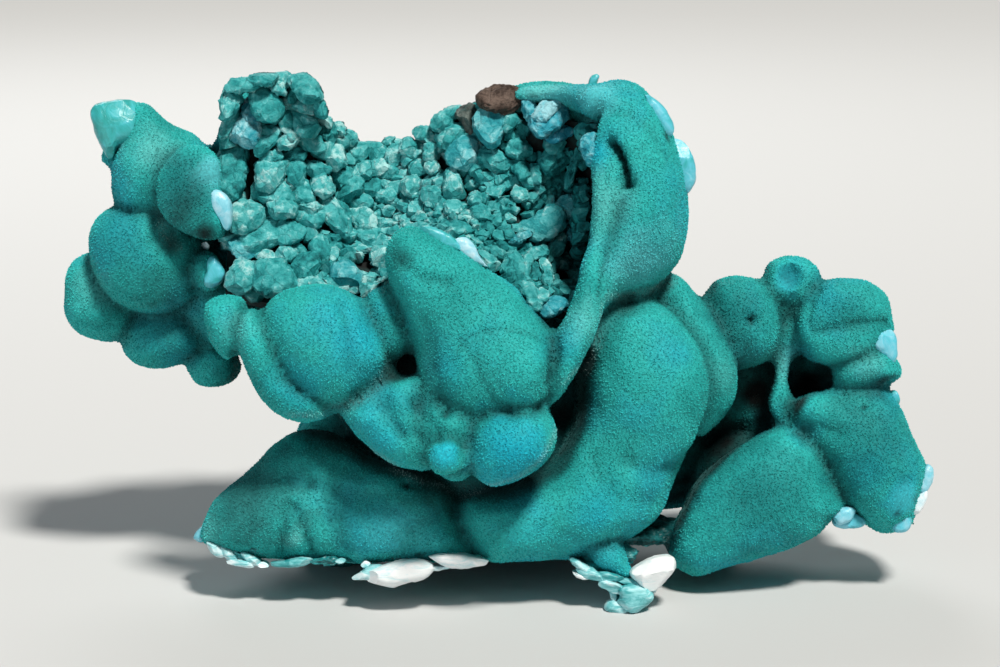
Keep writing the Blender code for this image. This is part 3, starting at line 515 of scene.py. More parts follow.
# The crystals, plates and leaves that can be told apart in the hollow. Each stands out of the bank by its
# first number and bulges towards the camera by its second, in millimetres. Then come its count of flat
# faces, its tone (0 is dark and 1 is pale), its hue (-1 is blue, 0 is teal and 1 is brown), and its outline
# as the camera sees it.
BLOCKS = {
    "cap_left": (0.4, 1.4, 2, 0.62, 0.0, [
        (247, 80), (252, 75), (262, 71), (272, 72), (276, 76), (273, 84), (262, 86), (253, 84)]),
    "cap_middle": (0.0, 1.4, 3, 0.7, 0.0, [
        (273, 78), (279, 73), (285, 70), (290, 74), (292, 83), (284, 89), (275, 87)]),
    "cap_right": (0.0, 1.8, 2, 0.55, 0.0, [
        (289, 78), (297, 74), (306, 75), (314, 80), (319, 88), (320, 99), (308, 103), (299, 97), (293, 87)]),
    "arch_top": (0.6, 1.2, 2, 0.75, 0.0, [
        (225, 90), (230, 81), (240, 78), (253, 80), (259, 87), (249, 91), (236, 92)]),
    "arch_side": (0.2, 1.4, 2, 0.5, 0.0, [
        (221, 106), (223, 93), (229, 86), (237, 89), (240, 98), (238, 107), (232, 117), (222, 119)]),
    "arch_low": (0.0, 1.2, 1, 0.4, 0.0, [
        (220, 140), (222, 126), (227, 115), (236, 106), (240, 113), (235, 124), (228, 136)]),
    "tower_slab": (1.1, 1.6, 3, 0.3, 0.0, [
        (254, 84), (262, 81), (270, 88), (278, 98), (283, 108), (278, 119), (268, 122), (258, 118),
        (252, 108), (250, 95)]),
    "tower_blue": (0.4, 1.0, 1, 0.55, -0.8, [
        (243, 106), (250, 97), (256, 108), (259, 119), (250, 122), (244, 116)]),
    "tower_small": (1.2, 1.0, 2, 0.85, 0.0, [(267, 83), (280, 81), (286, 89), (284, 95), (274, 92)]),
    "tower_rod": (0.3, 1.2, 1, 0.2, 0.0, [(289, 86), (297, 80), (302, 90), (298, 101), (290, 102)]),
    "tower_facet": (0.8, 1.6, 3, 0.95, 0.0, [
        (292, 105), (300, 96), (310, 91), (319, 96), (317, 106), (314, 114), (300, 112)]),
    "tower_side": (0.0, 1.2, 1, 0.3, 0.0, [(315, 99), (321, 98), (326, 108), (326, 117), (316, 115)]),
    "tower_heart": (0.2, 1.2, 2, 0.25, 0.0, [
        (278, 112), (284, 108), (290, 112), (294, 122), (290, 131), (280, 125)]),
    "base_upper": (0.8, 1.6, 3, 0.6, 0.0, [
        (291, 110), (304, 112), (314, 118), (319, 128), (312, 137), (298, 135), (292, 122)]),
    "base_lower": (0.2, 1.4, 3, 0.5, 0.0, [
        (296, 132), (314, 133), (323, 141), (324, 151), (310, 152), (298, 146)]),
    "knuckle_pale": (0.6, 1.2, 2, 0.9, 0.0, [(312, 116), (324, 115), (331, 121), (331, 128), (321, 124)]),
    "knuckle_dark": (0.2, 1.2, 2, 0.25, 0.0, [(320, 125), (331, 122), (336, 132), (333, 143), (324, 140)]),
    "shelf_first": (0.0, 1.2, 1, 0.75, 0.0, [(332, 124), (340, 122), (346, 128), (345, 136), (336, 137)]),
    "shelf_second": (0.0, 1.2, 1, 0.85, 0.0, [(343, 133), (350, 130), (356, 135), (358, 143), (346, 144)]),
    "blue_block": (1.0, 1.4, 3, 0.85, -0.55, [
        (235, 124), (243, 115), (252, 116), (260, 124), (261, 134), (257, 142), (250, 149), (240, 144),
        (233, 140)]),
    "base_left": (0.6, 1.4, 3, 0.45, 0.0, [
        (260, 124), (270, 125), (281, 130), (278, 140), (269, 150), (258, 156), (256, 146)]),
    "wedge_pale": (1.0, 1.2, 3, 0.9, 0.0, [(279, 140), (288, 133), (298, 138), (291, 149), (281, 149)]),
    "ridge_pale": (1.2, 0.8, 1, 0.8, 0.0, [(283, 129), (290, 128), (299, 137), (291, 140)]),
    "hollow_dark": (0.0, 0.8, 2, 0.0, 0.0, [(281, 150), (296, 146), (306, 152), (302, 160), (284, 160)]),
    "striped_upper": (0.5, 1.2, 2, 0.65, 0.0, [(261, 160), (263, 150), (276, 149), (283, 156), (277, 162)]),
    "striped_block": (1.0, 1.6, 3, 0.8, 0.0, [
        (256, 163), (270, 161), (286, 162), (284, 173), (280, 184), (270, 190), (259, 188), (257, 176)]),
    "rough_block": (0.6, 1.4, 3, 0.65, 0.0, [
        (257, 189), (270, 190), (282, 184), (290, 190), (291, 203), (276, 202), (262, 203)]),
    "middle_dark": (0.2, 1.2, 3, 0.3, 0.0, [
        (289, 161), (300, 158), (305, 170), (301, 186), (290, 180), (287, 169)]),
    "middle_slab": (0.4, 1.2, 3, 0.5, 0.0, [
        (307, 160), (322, 163), (331, 170), (322, 177), (312, 177), (305, 169)]),
    "middle_low": (0.2, 1.2, 2, 0.45, 0.0, [
        (293, 184), (304, 180), (313, 190), (314, 202), (300, 204), (292, 198)]),
    "tall_block": (0.8, 1.6, 3, 0.8, 0.0, [
        (313, 177), (324, 172), (331, 180), (333, 192), (322, 197), (312, 190)]),
    "shelf_pale": (0.8, 1.4, 3, 0.95, 0.0, [
        (327, 150), (338, 145), (344, 152), (345, 162), (338, 171), (330, 168), (325, 158)]),
    "shelf_under": (0.2, 1.2, 2, 0.4, 0.0, [(331, 172), (344, 168), (350, 178), (340, 188), (332, 184)]),
    "saddle_first": (0.2, 1.2, 3, 0.65, 0.0, [
        (346, 147), (356, 143), (366, 143), (370, 152), (362, 162), (350, 160)]),
    "saddle_second": (0.2, 1.2, 3, 0.5, 0.0, [(366, 144), (378, 143), (386, 148), (384, 158), (372, 160)]),
    "saddle_third": (0.3, 1.2, 3, 0.85, 0.0, [(372, 160), (383, 158), (388, 168), (380, 176), (371, 172)]),
    "saddle_fourth": (0.4, 1.2, 3, 0.8, 0.0, [(354, 164), (368, 161), (371, 173), (364, 180), (353, 175)]),
    "green_slab": (0.8, 1.4, 3, 0.55, 0.0, [
        (338, 190), (350, 178), (362, 182), (360, 194), (346, 202), (337, 198)]),
    "green_low": (0.6, 1.2, 3, 0.55, 0.0, [(348, 196), (366, 194), (373, 204), (362, 210), (350, 208)]),
    "saddle_dark": (0.2, 1.0, 2, 0.2, 0.0, [(362, 182), (376, 178), (382, 190), (372, 198), (362, 194)]),
    "saddle_low": (0.4, 1.2, 2, 0.75, 0.0, [(376, 194), (388, 188), (398, 192), (392, 202), (378, 202)]),
    "dark_tongue": (1.0, 1.0, 0, 0.22, 0.0, [
        (219, 172), (220, 152), (228, 146), (240, 144), (245, 151), (246, 168), (244, 184), (238, 196),
        (229, 200), (222, 192)]),
    "round_left": (1.0, 2.0, 1, 0.75, 0.0, [
        (231, 206), (240, 201), (254, 202), (264, 208), (264, 219), (258, 228), (246, 233), (234, 230),
        (229, 218)]),
    "round_second": (0.9, 1.8, 1, 0.75, 0.0, [
        (268, 206), (276, 200), (288, 200), (296, 206), (296, 214), (288, 218), (275, 217)]),
    "round_third": (0.5, 1.2, 2, 0.8, 0.0, [(299, 204), (312, 200), (321, 206), (316, 214), (306, 215)]),
    "facet_low": (0.5, 1.2, 3, 0.55, 0.0, [(299, 216), (318, 211), (323, 220), (316, 229), (304, 227)]),
    "rough_left": (0.5, 1.4, 3, 0.55, 0.0, [
        (240, 238), (254, 229), (266, 220), (278, 218), (284, 228), (282, 240), (266, 250), (246, 250)]),
    "rough_right": (0.5, 1.4, 3, 0.5, 0.0, [
        (280, 222), (292, 222), (304, 230), (300, 240), (286, 246), (278, 238)]),
    "rough_hole": (0.9, 0.4, 0, 0.0, 0.1, [(267, 242), (274, 239), (278, 243), (270, 247)]),
    "wedge_left": (0.6, 1.2, 3, 0.5, -0.3, [
        (230, 242), (242, 238), (252, 246), (256, 254), (244, 260), (233, 252)]),
    "pale_first": (0.9, 0.8, 2, 0.95, 0.0, [(256, 257), (266, 250), (276, 256), (270, 262)]),
    "pale_second": (0.9, 0.9, 2, 0.85, 0.0, [(276, 251), (287, 246), (298, 254), (290, 262), (280, 260)]),
    "base_dark": (0.6, 1.6, 3, 0.15, 0.0, [
        (295, 260), (306, 252), (318, 254), (322, 264), (314, 275), (300, 279), (293, 269)]),
    "base_middle": (0.6, 1.3, 3, 0.45, 0.0, [
        (310, 246), (320, 236), (329, 244), (329, 257), (324, 268), (315, 262)]),
    "corner_left": (0.8, 1.8, 2, 0.75, 0.0, [
        (229, 274), (238, 262), (250, 262), (257, 272), (256, 286), (246, 294), (234, 292), (228, 283)]),
    "base_smooth": (0.9, 2.0, 1, 0.42, 0.0, [
        (256, 266), (272, 260), (286, 264), (295, 276), (296, 289), (284, 296), (266, 294), (256, 286)]),
    "base_right": (0.9, 1.9, 1, 0.45, -0.3, [
        (332, 269), (340, 262), (352, 264), (361, 276), (358, 287), (346, 286), (334, 282)]),
    "base_chip": (0.6, 0.9, 2, 0.4, 0.0, [(313, 279), (322, 272), (327, 279), (320, 285)]),
    "shard": (1.2, 0.7, 2, 0.9, 0.0, [
        (361, 284), (370, 284), (383, 279), (376, 290), (368, 297), (362, 294)]),
    "slab_first": (0.8, 1.2, 1, 0.6, 0.0, [
        (318, 200), (326, 194), (336, 200), (344, 214), (349, 234), (340, 234), (328, 224)]),
    "slab_second": (0.4, 1.0, 1, 0.45, 0.0, [
        (336, 190), (342, 196), (350, 214), (353, 234), (347, 232), (342, 212)]),
    "step_first": (0.7, 1.0, 3, 0.85, 0.0, [
        (352, 210), (366, 208), (375, 218), (376, 228), (362, 230), (352, 222)]),
    "step_second": (0.5, 1.0, 3, 0.6, 0.0, [
        (350, 230), (364, 231), (378, 228), (379, 241), (366, 246), (352, 240)]),
    "step_third": (0.5, 0.9, 2, 0.95, 0.0, [(352, 246), (364, 246), (377, 247), (372, 253), (358, 252)]),
    "bead_white": (0.8, 0.8, 2, 1.0, 0.0, [(328, 252), (336, 248), (339, 256), (332, 261)]),
    "rim_low": (0.2, 1.3, 2, 0.85, 0.0, [
        (413, 131), (420, 126), (430, 127), (435, 132), (428, 139), (418, 139)]),
    "rim_left": (0.2, 1.5, 3, 0.6, 0.0, [
        (431, 126), (436, 115), (446, 109), (458, 106), (463, 112), (455, 119), (450, 128), (440, 131)]),
    "rim_front": (0.6, 1.5, 2, 0.55, 0.0, [
        (440, 136), (452, 126), (463, 124), (466, 133), (459, 143), (448, 150), (440, 145)]),
    "striped_right": (1.0, 1.6, 3, 0.6, -0.3, [
        (447, 152), (458, 140), (472, 137), (478, 146), (477, 160), (474, 169), (462, 169), (450, 163)]),
    "lump_right": (1.0, 2.4, 2, 0.5, -0.35, [
        (475, 119), (480, 110), (490, 108), (500, 111), (505, 120), (503, 131), (498, 143), (490, 147),
        (482, 141), (476, 131)]),
    "lump_small": (0.8, 1.4, 2, 0.5, 0.0, [
        (501, 123), (508, 116), (516, 115), (519, 122), (512, 129), (504, 131)]),
    "brown_cap": (1.4, 1.4, 0, 0.3, 1.0, [
        (479, 99), (483, 91), (492, 87), (504, 86), (516, 89), (522, 97), (518, 106), (508, 112), (495, 112),
        (484, 108)]),
    "brown_rubble": (0.6, 1.2, 4, 0.2, 0.8, [
        (456, 116), (464, 106), (474, 106), (476, 118), (472, 133), (465, 130), (461, 120)]),
    "under_cap": (0.4, 1.2, 2, 0.25, 0.0, [
        (506, 148), (516, 140), (530, 146), (530, 154), (520, 160), (508, 155)]),
    "under_lump": (0.4, 1.4, 2, 0.35, 0.0, [
        (479, 150), (490, 147), (502, 152), (512, 162), (502, 170), (488, 168), (480, 160)]),
    "gloss_left": (1.0, 1.0, 1, 0.45, -0.6, [
        (522, 98), (528, 96), (534, 104), (539, 114), (536, 121), (528, 121), (524, 110)]),
    # This pale sliver, its tone past 1, is a painted glossy highlight on the shard below it.
    "painted_gloss_highlight": (1.9, 0.8, 1, 1.2, -0.7, [
        (535, 119), (538, 108), (546, 101), (557, 102), (556, 111), (545, 121)]),
    "gloss_main": (1.2, 1.4, 1, 0.5, -0.7, [
        (530, 122), (540, 110), (554, 104), (567, 108), (565, 120), (554, 132), (540, 137)]),
    "gloss_low": (0.8, 1.0, 2, 0.25, -1.0, [
        (546, 135), (557, 127), (568, 126), (573, 132), (562, 140), (552, 142)]),
    "inner_bulb": (3.4, 1.4, 0, 0.5, -0.6, [
        (580, 144), (585, 136), (595, 135), (601, 146), (598, 160), (589, 164), (583, 154)]),
    "inner_blade": (1.2, 1.0, 0, 0.4, 0.0, [
        (584, 145), (580, 158), (576, 174), (571, 187), (566, 186), (569, 166), (575, 150)]),
    "dark_first": (0.4, 1.4, 4, 0.12, 0.0, [
        (539, 158), (550, 150), (564, 152), (569, 161), (561, 171), (547, 175)]),
    "dark_rod": (1.3, 0.6, 1, 0.45, 0.0, [(546, 170), (562, 157), (564, 162), (550, 173)]),
    "dark_second": (0.4, 1.2, 3, 0.35, 0.0, [(529, 169), (537, 164), (542, 174), (539, 183), (530, 181)]),
    "dark_third": (0.4, 1.2, 3, 0.1, 0.0, [(513, 165), (524, 161), (529, 172), (524, 181), (515, 175)]),
    "pale_chip": (0.7, 0.8, 2, 0.9, 0.0, [(512, 193), (517, 186), (525, 190), (527, 198), (518, 201)]),
    "lone_round": (0.8, 1.2, 1, 0.7, 0.0, [(469, 195), (476, 191), (481, 197), (479, 205), (470, 204)]),
    "leaf_end": (2.2, 1.2, 2, 0.75, -0.3, [
        (553, 208), (560, 200), (572, 194), (582, 194), (589, 201), (585, 209), (574, 216), (562, 217)]),
    "slanted_leaf": (1.7, 1.1, 2, 0.5, -0.15, [
        (522, 224), (532, 218), (541, 212), (552, 205), (561, 211), (565, 222), (558, 233), (548, 239),
        (534, 240), (524, 234)]),
    "slanted_tip": (1.4, 0.8, 1, 0.55, -0.35, [
        (510, 241), (518, 234), (528, 230), (531, 236), (520, 242), (512, 244)]),
    "blue_leaf": (1.9, 0.9, 1, 0.5, -0.6, [
        (561, 231), (568, 222), (578, 216), (585, 222), (581, 232), (573, 239), (564, 237)]),
    "shell_left": (1.2, 0.9, 0, 0.5, 0.0, [
        (519, 280), (521, 265), (526, 256), (532, 258), (530, 268), (529, 283)]),
    "shell_top": (1.4, 0.9, 0, 0.55, 0.0, [
        (524, 258), (530, 250), (541, 246), (547, 252), (541, 259), (531, 262)]),
    "shell_middle": (1.5, 0.9, 0, 0.75, 0.0, [
        (539, 260), (548, 261), (553, 276), (551, 289), (544, 287), (542, 273)]),
    "shell_inner": (0.2, 0.6, 0, 0.1, 0.0, [(530, 263), (538, 262), (542, 275), (540, 287), (530, 281)]),
    "shell_right": (1.6, 0.9, 1, 0.65, 0.0, [
        (546, 250), (553, 240), (562, 233), (565, 244), (560, 255), (550, 258)]),
    "shell_low": (1.4, 0.9, 1, 0.6, 0.0, [
        (514, 286), (524, 283), (535, 288), (541, 298), (540, 309), (531, 309), (526, 297)]),
    "shell_knot": (1.8, 0.8, 1, 0.8, 0.0, [(535, 296), (542, 290), (549, 294), (545, 301), (537, 302)]),
    "shell_tail": (1.2, 1.1, 2, 0.3, -0.5, [
        (541, 303), (551, 298), (560, 298), (567, 304), (559, 313), (548, 317), (540, 312)]),
    "shell_slope": (0.6, 1.2, 2, 0.35, 0.0, [
        (500, 270), (506, 260), (515, 252), (523, 262), (523, 276), (514, 283), (506, 277)]),
    "slope_rough": (0.5, 1.0, 3, 0.5, 0.0, [(479, 251), (493, 256), (501, 266), (492, 271), (484, 263)]),
    "slope_facet": (0.5, 1.0, 3, 0.55, 0.0, [(472, 208), (486, 206), (490, 218), (477, 221)]),
    "slope_dark": (0.3, 0.9, 2, 0.15, 0.0, [(444, 222), (460, 222), (474, 228), (466, 235), (450, 233)]),
    "slope_pale": (0.6, 0.7, 2, 1.0, 0.0, [(471, 222), (476, 220), (479, 228), (475, 231)]),
    "cobble_1": (0.5, 1.5, 1, 0.75, 0.0, [
        (400, 146), (405, 139), (413, 139), (417, 148), (411, 157), (402, 155)]),
    "cobble_2": (0.5, 1.4, 2, 0.8, 0.0, [
        (424, 148), (431, 142), (439, 148), (439, 158), (431, 162), (424, 157)]),
    "cobble_3": (0.3, 1.3, 2, 0.45, 0.0, [
        (410, 166), (417, 160), (426, 163), (427, 171), (418, 177), (410, 173)]),
    "cobble_4": (0.6, 1.3, 2, 0.9, 0.0, [(426, 164), (436, 160), (440, 167), (435, 174), (427, 172)]),
    "cobble_5": (0.5, 1.5, 3, 0.85, 0.0, [
        (401, 186), (406, 177), (416, 175), (422, 184), (419, 193), (408, 195)]),
    "cobble_6": (0.4, 1.4, 2, 0.65, 0.0, [(386, 152), (394, 144), (401, 150), (400, 163), (391, 166)]),
    "cobble_7": (0.6, 1.5, 3, 0.7, 0.0, [
        (446, 172), (454, 170), (461, 182), (464, 196), (452, 200), (444, 190)]),
    "cobble_8": (0.5, 1.4, 3, 0.6, 0.0, [
        (424, 190), (434, 186), (443, 192), (442, 204), (430, 207), (422, 199)]),
    "cobble_9": (0.5, 1.3, 2, 0.75, 0.0, [(446, 203), (456, 200), (462, 208), (456, 218), (446, 214)]),
}
# The blocks run into each other, so each is a little larger than the outline that is seen of it. They bulge
# backward by so many millimetres, and lean back as they rise, as the bank behind them does.
BLOCK_STYLE = {"growth": 1.12, "back": 3.0, "fullness": 2.8, "lean": 0.4}
# How much room each block keeps free of small crystals, as a share of its size.
BLOCK_ROOM = 0.9
# Where no bank is seen behind a block, it stands at this depth along Y.
TOWER_DEPTH = 3.4

# Broken plates of the shell. Each has its depth along Y, or None where it lies on the velvet that the camera
# sees there; how far it stands out of that; its bulge, count of flat faces and whiteness (0 is teal, 0.3 is
# pale blue and 1 is white); and its outline.
CHIPS = {
    "horn": (None, 0.6, 1.8, 4, 0.1, [
        (93, 112), (104, 104), (126, 101), (138, 106), (142, 122), (136, 140), (118, 146), (112, 160),
        (102, 146), (96, 132)]),
    "dome_upper": (-3.6, 0.0, 1.0, 1, 0.3, [
        (646, 95), (655, 100), (664, 108), (670, 118), (673, 129), (669, 136), (660, 134), (653, 122),
        (647, 109)]),
    "dome_side": (-3.2, 0.0, 1.2, 2, 0.32, [
        (671, 141), (681, 142), (689, 150), (694, 164), (695, 179), (691, 188), (686, 192), (680, 186),
        (677, 174), (672, 158)]),
    "dome_spur": (8.0, 0.0, 0.4, 0, 0.2, [(588, 90), (590, 80), (594, 75), (599, 76), (597, 82), (596, 92)]),
    "ear_lower": (None, 0.0, 0.8, 1, 0.5, [
        (211, 194), (218, 191), (226, 196), (231, 203), (232, 215), (230, 227), (225, 229), (218, 216),
        (212, 205)]),
    "ear_bead": (None, 0.6, 0.5, 0, 0.8, [(202, 244), (206, 242), (209, 245), (208, 249), (203, 248)]),
    "blue_flake": (None, 0.5, 0.9, 2, 0.25, [
        (208, 260), (214, 257), (220, 265), (224, 274), (220, 283), (212, 287), (205, 284), (207, 271)]),
    "front_flake": (-8.8, 0.0, 0.7, 1, 0.6, [
        (455, 241), (466, 238), (474, 246), (480, 257), (488, 267), (477, 264), (467, 258), (459, 250)]),
    "front_smooth": (-9.0, 0.0, 0.8, 1, 0.2, [
        (420, 227), (438, 229), (452, 237), (460, 249), (446, 249), (431, 239)]),
    "crown_chip": (None, 0.2, 0.9, 2, 0.36, [
        (874, 345), (878, 334), (888, 329), (895, 336), (897, 350), (893, 363), (884, 358)]),
    "rim_shard_upper": (-2.2, 0.0, 0.6, 1, 0.5, [
        (918, 491), (921, 478), (927, 466), (932, 470), (932, 481), (926, 491)]),
    "rim_shard_lower": (-2.8, 0.0, 0.6, 1, 0.85, [
        (910, 512), (915, 499), (926, 491), (925, 503), (917, 513)]),
    "rim_blue_lower": (-3.2, 0.0, 0.9, 2, 0.3, [(893, 519), (906, 512), (911, 522), (906, 531), (895, 531)]),
    "right_low_chip": (-3.4, 0.0, 0.8, 1, 0.45, [
        (833, 513), (845, 507), (855, 510), (850, 520), (838, 524)]),
    "right_low_strip": (-3.0, 0.0, 0.7, 1, 0.35, [
        (834, 519), (848, 513), (862, 518), (862, 526), (848, 528), (836, 526)]),
    "right_spur": (1.0, 0.0, 0.5, 0, 0.2, [(890, 394), (896, 391), (900, 400), (896, 406)]),
    "tip_chip": (-1.8, 0.0, 0.9, 1, 0.4, [(194, 538), (197, 531), (204, 526), (207, 534), (202, 542)]),
}
CHIP_STYLE = {"growth": 1.06, "back": 1.8, "fullness": 3.0}
# Flakes and plates of the matrix along the lower edge: depth along Y, bulge, flat faces, whiteness, and
# outline.
FLAKES = {
    "corner_first": (-6.6, 0.9, 2, 0.55, [
        (207, 542), (217, 543), (222, 548), (225, 555), (218, 556), (211, 551)]),
    "corner_second": (-6.8, 0.9, 3, 0.4, [(221, 546), (230, 549), (238, 558), (234, 562), (226, 557)]),
    "corner_third": (-7.4, 0.8, 2, 0.6, [(227, 562), (238, 559), (251, 562), (252, 567), (238, 566)]),
    "corner_fourth": (-7.0, 1.0, 3, 0.5, [(241, 553), (250, 553), (261, 561), (257, 565), (246, 561)]),
    "corner_streak": (-6.6, 0.7, 2, 0.3, [(228, 548), (238, 551), (246, 558), (240, 560)]),
    "crumb_left": (-7.4, 0.6, 3, 0.7, [(257, 562), (265, 562), (268, 566), (260, 567)]),
    "fold_rim": (-8.0, 1.0, 1, 0.3, [
        (272, 562), (286, 560), (302, 557), (312, 559), (305, 565), (288, 567), (275, 566)]),
    "rim_crumb": (-8.2, 0.5, 1, 0.5, [(334, 562), (340, 559), (345, 560), (341, 563)]),
    "lens_crumb": (-8.8, 0.5, 2, 0.7, [(361, 565), (366, 561), (370, 564), (364, 568)]),
    "lens_tail": (-9.4, 1.2, 1, 0.6, [
        (352, 578), (362, 571), (373, 565), (384, 567), (380, 577), (366, 579)]),
    "lens": (-9.8, 1.8, 1, 0.95, [
        (364, 576), (376, 568), (390, 564), (406, 560), (421, 560), (432, 565), (431, 573), (421, 579),
        (406, 582), (393, 586), (378, 583)]),
    "lens_link": (-9.6, 0.8, 1, 0.7, [(428, 566), (440, 566), (454, 565), (446, 569), (432, 571)]),
    "strip": (-9.8, 1.4, 2, 0.85, [
        (430, 556), (444, 554), (461, 554), (476, 557), (489, 562), (476, 566), (460, 568), (446, 566),
        (438, 562)]),
    "ledge_top": (-9.2, 0.8, 3, 0.45, [
        (570, 559), (578, 560), (588, 567), (598, 573), (590, 577), (577, 568)]),
    "ledge_middle": (-9.4, 0.8, 3, 0.3, [
        (576, 569), (590, 568), (602, 575), (610, 582), (596, 580), (584, 577)]),
    "ledge_tip": (-9.4, 0.6, 2, 0.8, [(573, 571), (580, 574), (590, 578), (583, 579), (575, 576)]),
    "ledge_bars": (-9.4, 0.9, 4, 0.2, [(599, 572), (612, 573), (624, 578), (614, 582), (603, 580)]),
    "ledge_low": (-9.8, 0.9, 2, 0.5, [
        (599, 584), (606, 580), (616, 582), (624, 588), (620, 593), (609, 591)]),
    "tail_strip": (-9.4, 0.7, 1, 0.3, [
        (614, 578), (630, 579), (645, 585), (648, 590), (632, 586), (618, 582)]),
    "foot": (-9.8, 1.6, 3, 0.35, [
        (618, 588), (634, 584), (650, 590), (652, 598), (642, 608), (632, 612), (618, 603), (621, 596)]),
    "foot_toe": (-9.6, 1.3, 2, 0.5, [
        (605, 606), (611, 600), (624, 603), (637, 607), (635, 615), (622, 615), (608, 611)]),
    "foot_bridge": (-9.4, 0.6, 1, 0.5, [(610, 590), (615, 591), (616, 600), (613, 603), (611, 598)]),
    "foot_block": (-9.2, 1.8, 3, 1.0, [
        (631, 573), (642, 563), (656, 557), (671, 557), (675, 567), (667, 578), (656, 589), (647, 590),
        (639, 583)]),
    "foot_edge": (-8.8, 0.8, 1, 0.8, [
        (657, 587), (650, 599), (641, 608), (635, 616), (631, 613), (638, 602), (648, 591)]),
}
FLAKE_STYLE = {"growth": 1.06, "back": 2.6, "fullness": 3.0}
# The chalky matrix under the lower tier, and the feet that it stands on: centres, radii and tilts, as above.
MATRIX_LUMPS = {
    "slab_left": ((-24.4, -3.6, 5.5), (4.8, 5.0, 1.5), 12),
    "slab_middle": ((-17.0, -3.6, 4.5), (5.5, 6.0, 1.7)), "lens": ((-7.4, -5.2, 5.0), (7.4, 4.2, 1.5)),
    "slab_right": ((3.0, -2.8, 5.0), (7.0, 6.0, 1.6)), "slab_rear": ((-6.0, 5.0, 3.8), (14.0, 7.0, 2.0)),
    "foot_neck": ((10.5, -5.6, 4.6), (4.0, 3.2, 2.0)),
    "foot_ledge": ((10.6, -8.2, 3.2), (3.2, 1.8, 1.3), 25), "foot_tip": ((12.2, -8.6, 1.4), (1.9, 1.8, 1.7)),
    "rear_foot_left": ((-17.0, 7.0, 2.2), (5.0, 4.5, 3.2)),
    "rear_foot_middle": ((3.0, 11.0, 2.0), (6.0, 4.0, 3.2)), "bridge": ((13.0, 7.0, 3.4), (9.0, 4.5, 2.2)),
    "rear_foot_right": ((20.5, 8.5, 2.0), (4.2, 3.6, 3.2)),
}
# How far its points are moved at random, how finely its lumps are joined, the steps of its layers for each
# millimetre of their waves, and how far it is drawn in to make room for them.
MATRIX_SHIFT = 0.3
MATRIX_VOXEL = 0.26
MATRIX_STEPS = 4.0
MATRIX_SHRINK = 0.6
# Half the width of the studio's floor, in metres.
FLOOR_SIZE = 6.0


# ---- places and camera

def at(point):
    """A table's point in the mesh's metres."""
    return (Vector(point) - MIDDLE) * MM


def in_table(point):
    """A mesh's point in the tables' millimetres."""
    return Vector(point) / MM + MIDDLE


def camera_frame():
    """The camera's place and its right, up and forward directions."""
    tilt = math.radians(CAMERA_ELEVATION)
    forward = Vector((0.0, math.cos(tilt), -math.sin(tilt)))
    right = Vector((1.0, 0.0, 0.0))
    place = at(LOOK_AT) - forward * CAMERA_DISTANCE * MM
    return place, right, right.cross(forward), forward


def sight(u, v):
    """The direction in which the camera sees the point (u, v) of its view."""
    _, right, up, forward = camera_frame()
    width, height = VIEW_SIZE
    scale = width * LENS / FILM_WIDTH
    return (forward + right * (u - width / 2) / scale - up * (v - height / 2) / scale).normalized()


def make_camera():
    place, _, _, forward = camera_frame()
    data = bpy.data.cameras.new("camera")
    data.lens = LENS
    data.sensor_width = FILM_WIDTH
    data.clip_start = CLIP_START * MM
    camera = bpy.data.objects.new("camera", data)
    camera.location = place
    camera.rotation_mode = "QUATERNION"
    camera.rotation_quaternion = forward.to_track_quat("-Z", "Y")
    bpy.context.scene.collection.objects.link(camera)
    bpy.context.scene.camera = camera


def seen(tree, u, v):
    """Where the camera's view through the point (u, v) meets a piece."""
    return tree.ray_cast(camera_frame()[0], sight(u, v))[0]


def seen_line(tree, points):
    """Where the camera's view meets a piece along a line of points."""
    found = []
    for (u, v), (m, n) in zip(points, points[1:]):
        steps = max(1, round(math.hypot(m - u, n - v) / LINE_STEP))
        for step in range(steps + 1):
            share = step / steps
            hit = seen(tree, u + (m - u) * share, v + (n - v) * share)
            if hit:
                found.append(hit)
    return found


# ---- mesh helpers

def new_object(name, bm):
    mesh = bpy.data.meshes.new(name)
    bm.to_mesh(mesh)
    bm.free()
    made = bpy.data.objects.new(name, mesh)
    bpy.context.scene.collection.objects.link(made)
    return made


def add_modifier(target, kind, **settings):
    modifier = target.modifiers.new(kind.title(), kind)
    for key, value in settings.items():
        setattr(modifier, key, value)
    return modifier


def add_remesh(target, voxel, smooth=True):
    add_modifier(target, "REMESH", mode="VOXEL", voxel_size=voxel * MM, use_smooth_shade=smooth)


def settle(target):
    """Applies a piece's modifiers."""
    graph = bpy.context.evaluated_depsgraph_get()
    mesh = bpy.data.meshes.new_from_object(target.evaluated_get(graph))
    target.modifiers.clear()
    target.data = mesh


def search_tree(target):
    return BVHTree.FromObject(target, bpy.context.evaluated_depsgraph_get())


def add_ellipsoid(bm, centre, radii, tilt=0.0, subdivisions=4):
    turn = Matrix.Rotation(math.radians(tilt), 4, "Y")
    size = Matrix.Diagonal([radius * MM for radius in radii]).to_4x4()
    place = Matrix.Translation(at(centre)) @ turn @ size
    bmesh.ops.create_icosphere(bm, subdivisions=subdivisions, radius=1.0, matrix=place)


def any_turn(rng):
    axis = Vector((rng.gauss(0, 1), rng.gauss(0, 1), rng.gauss(0, 1)))
    return Matrix.Rotation(rng.uniform(0, math.tau), 4, axis)


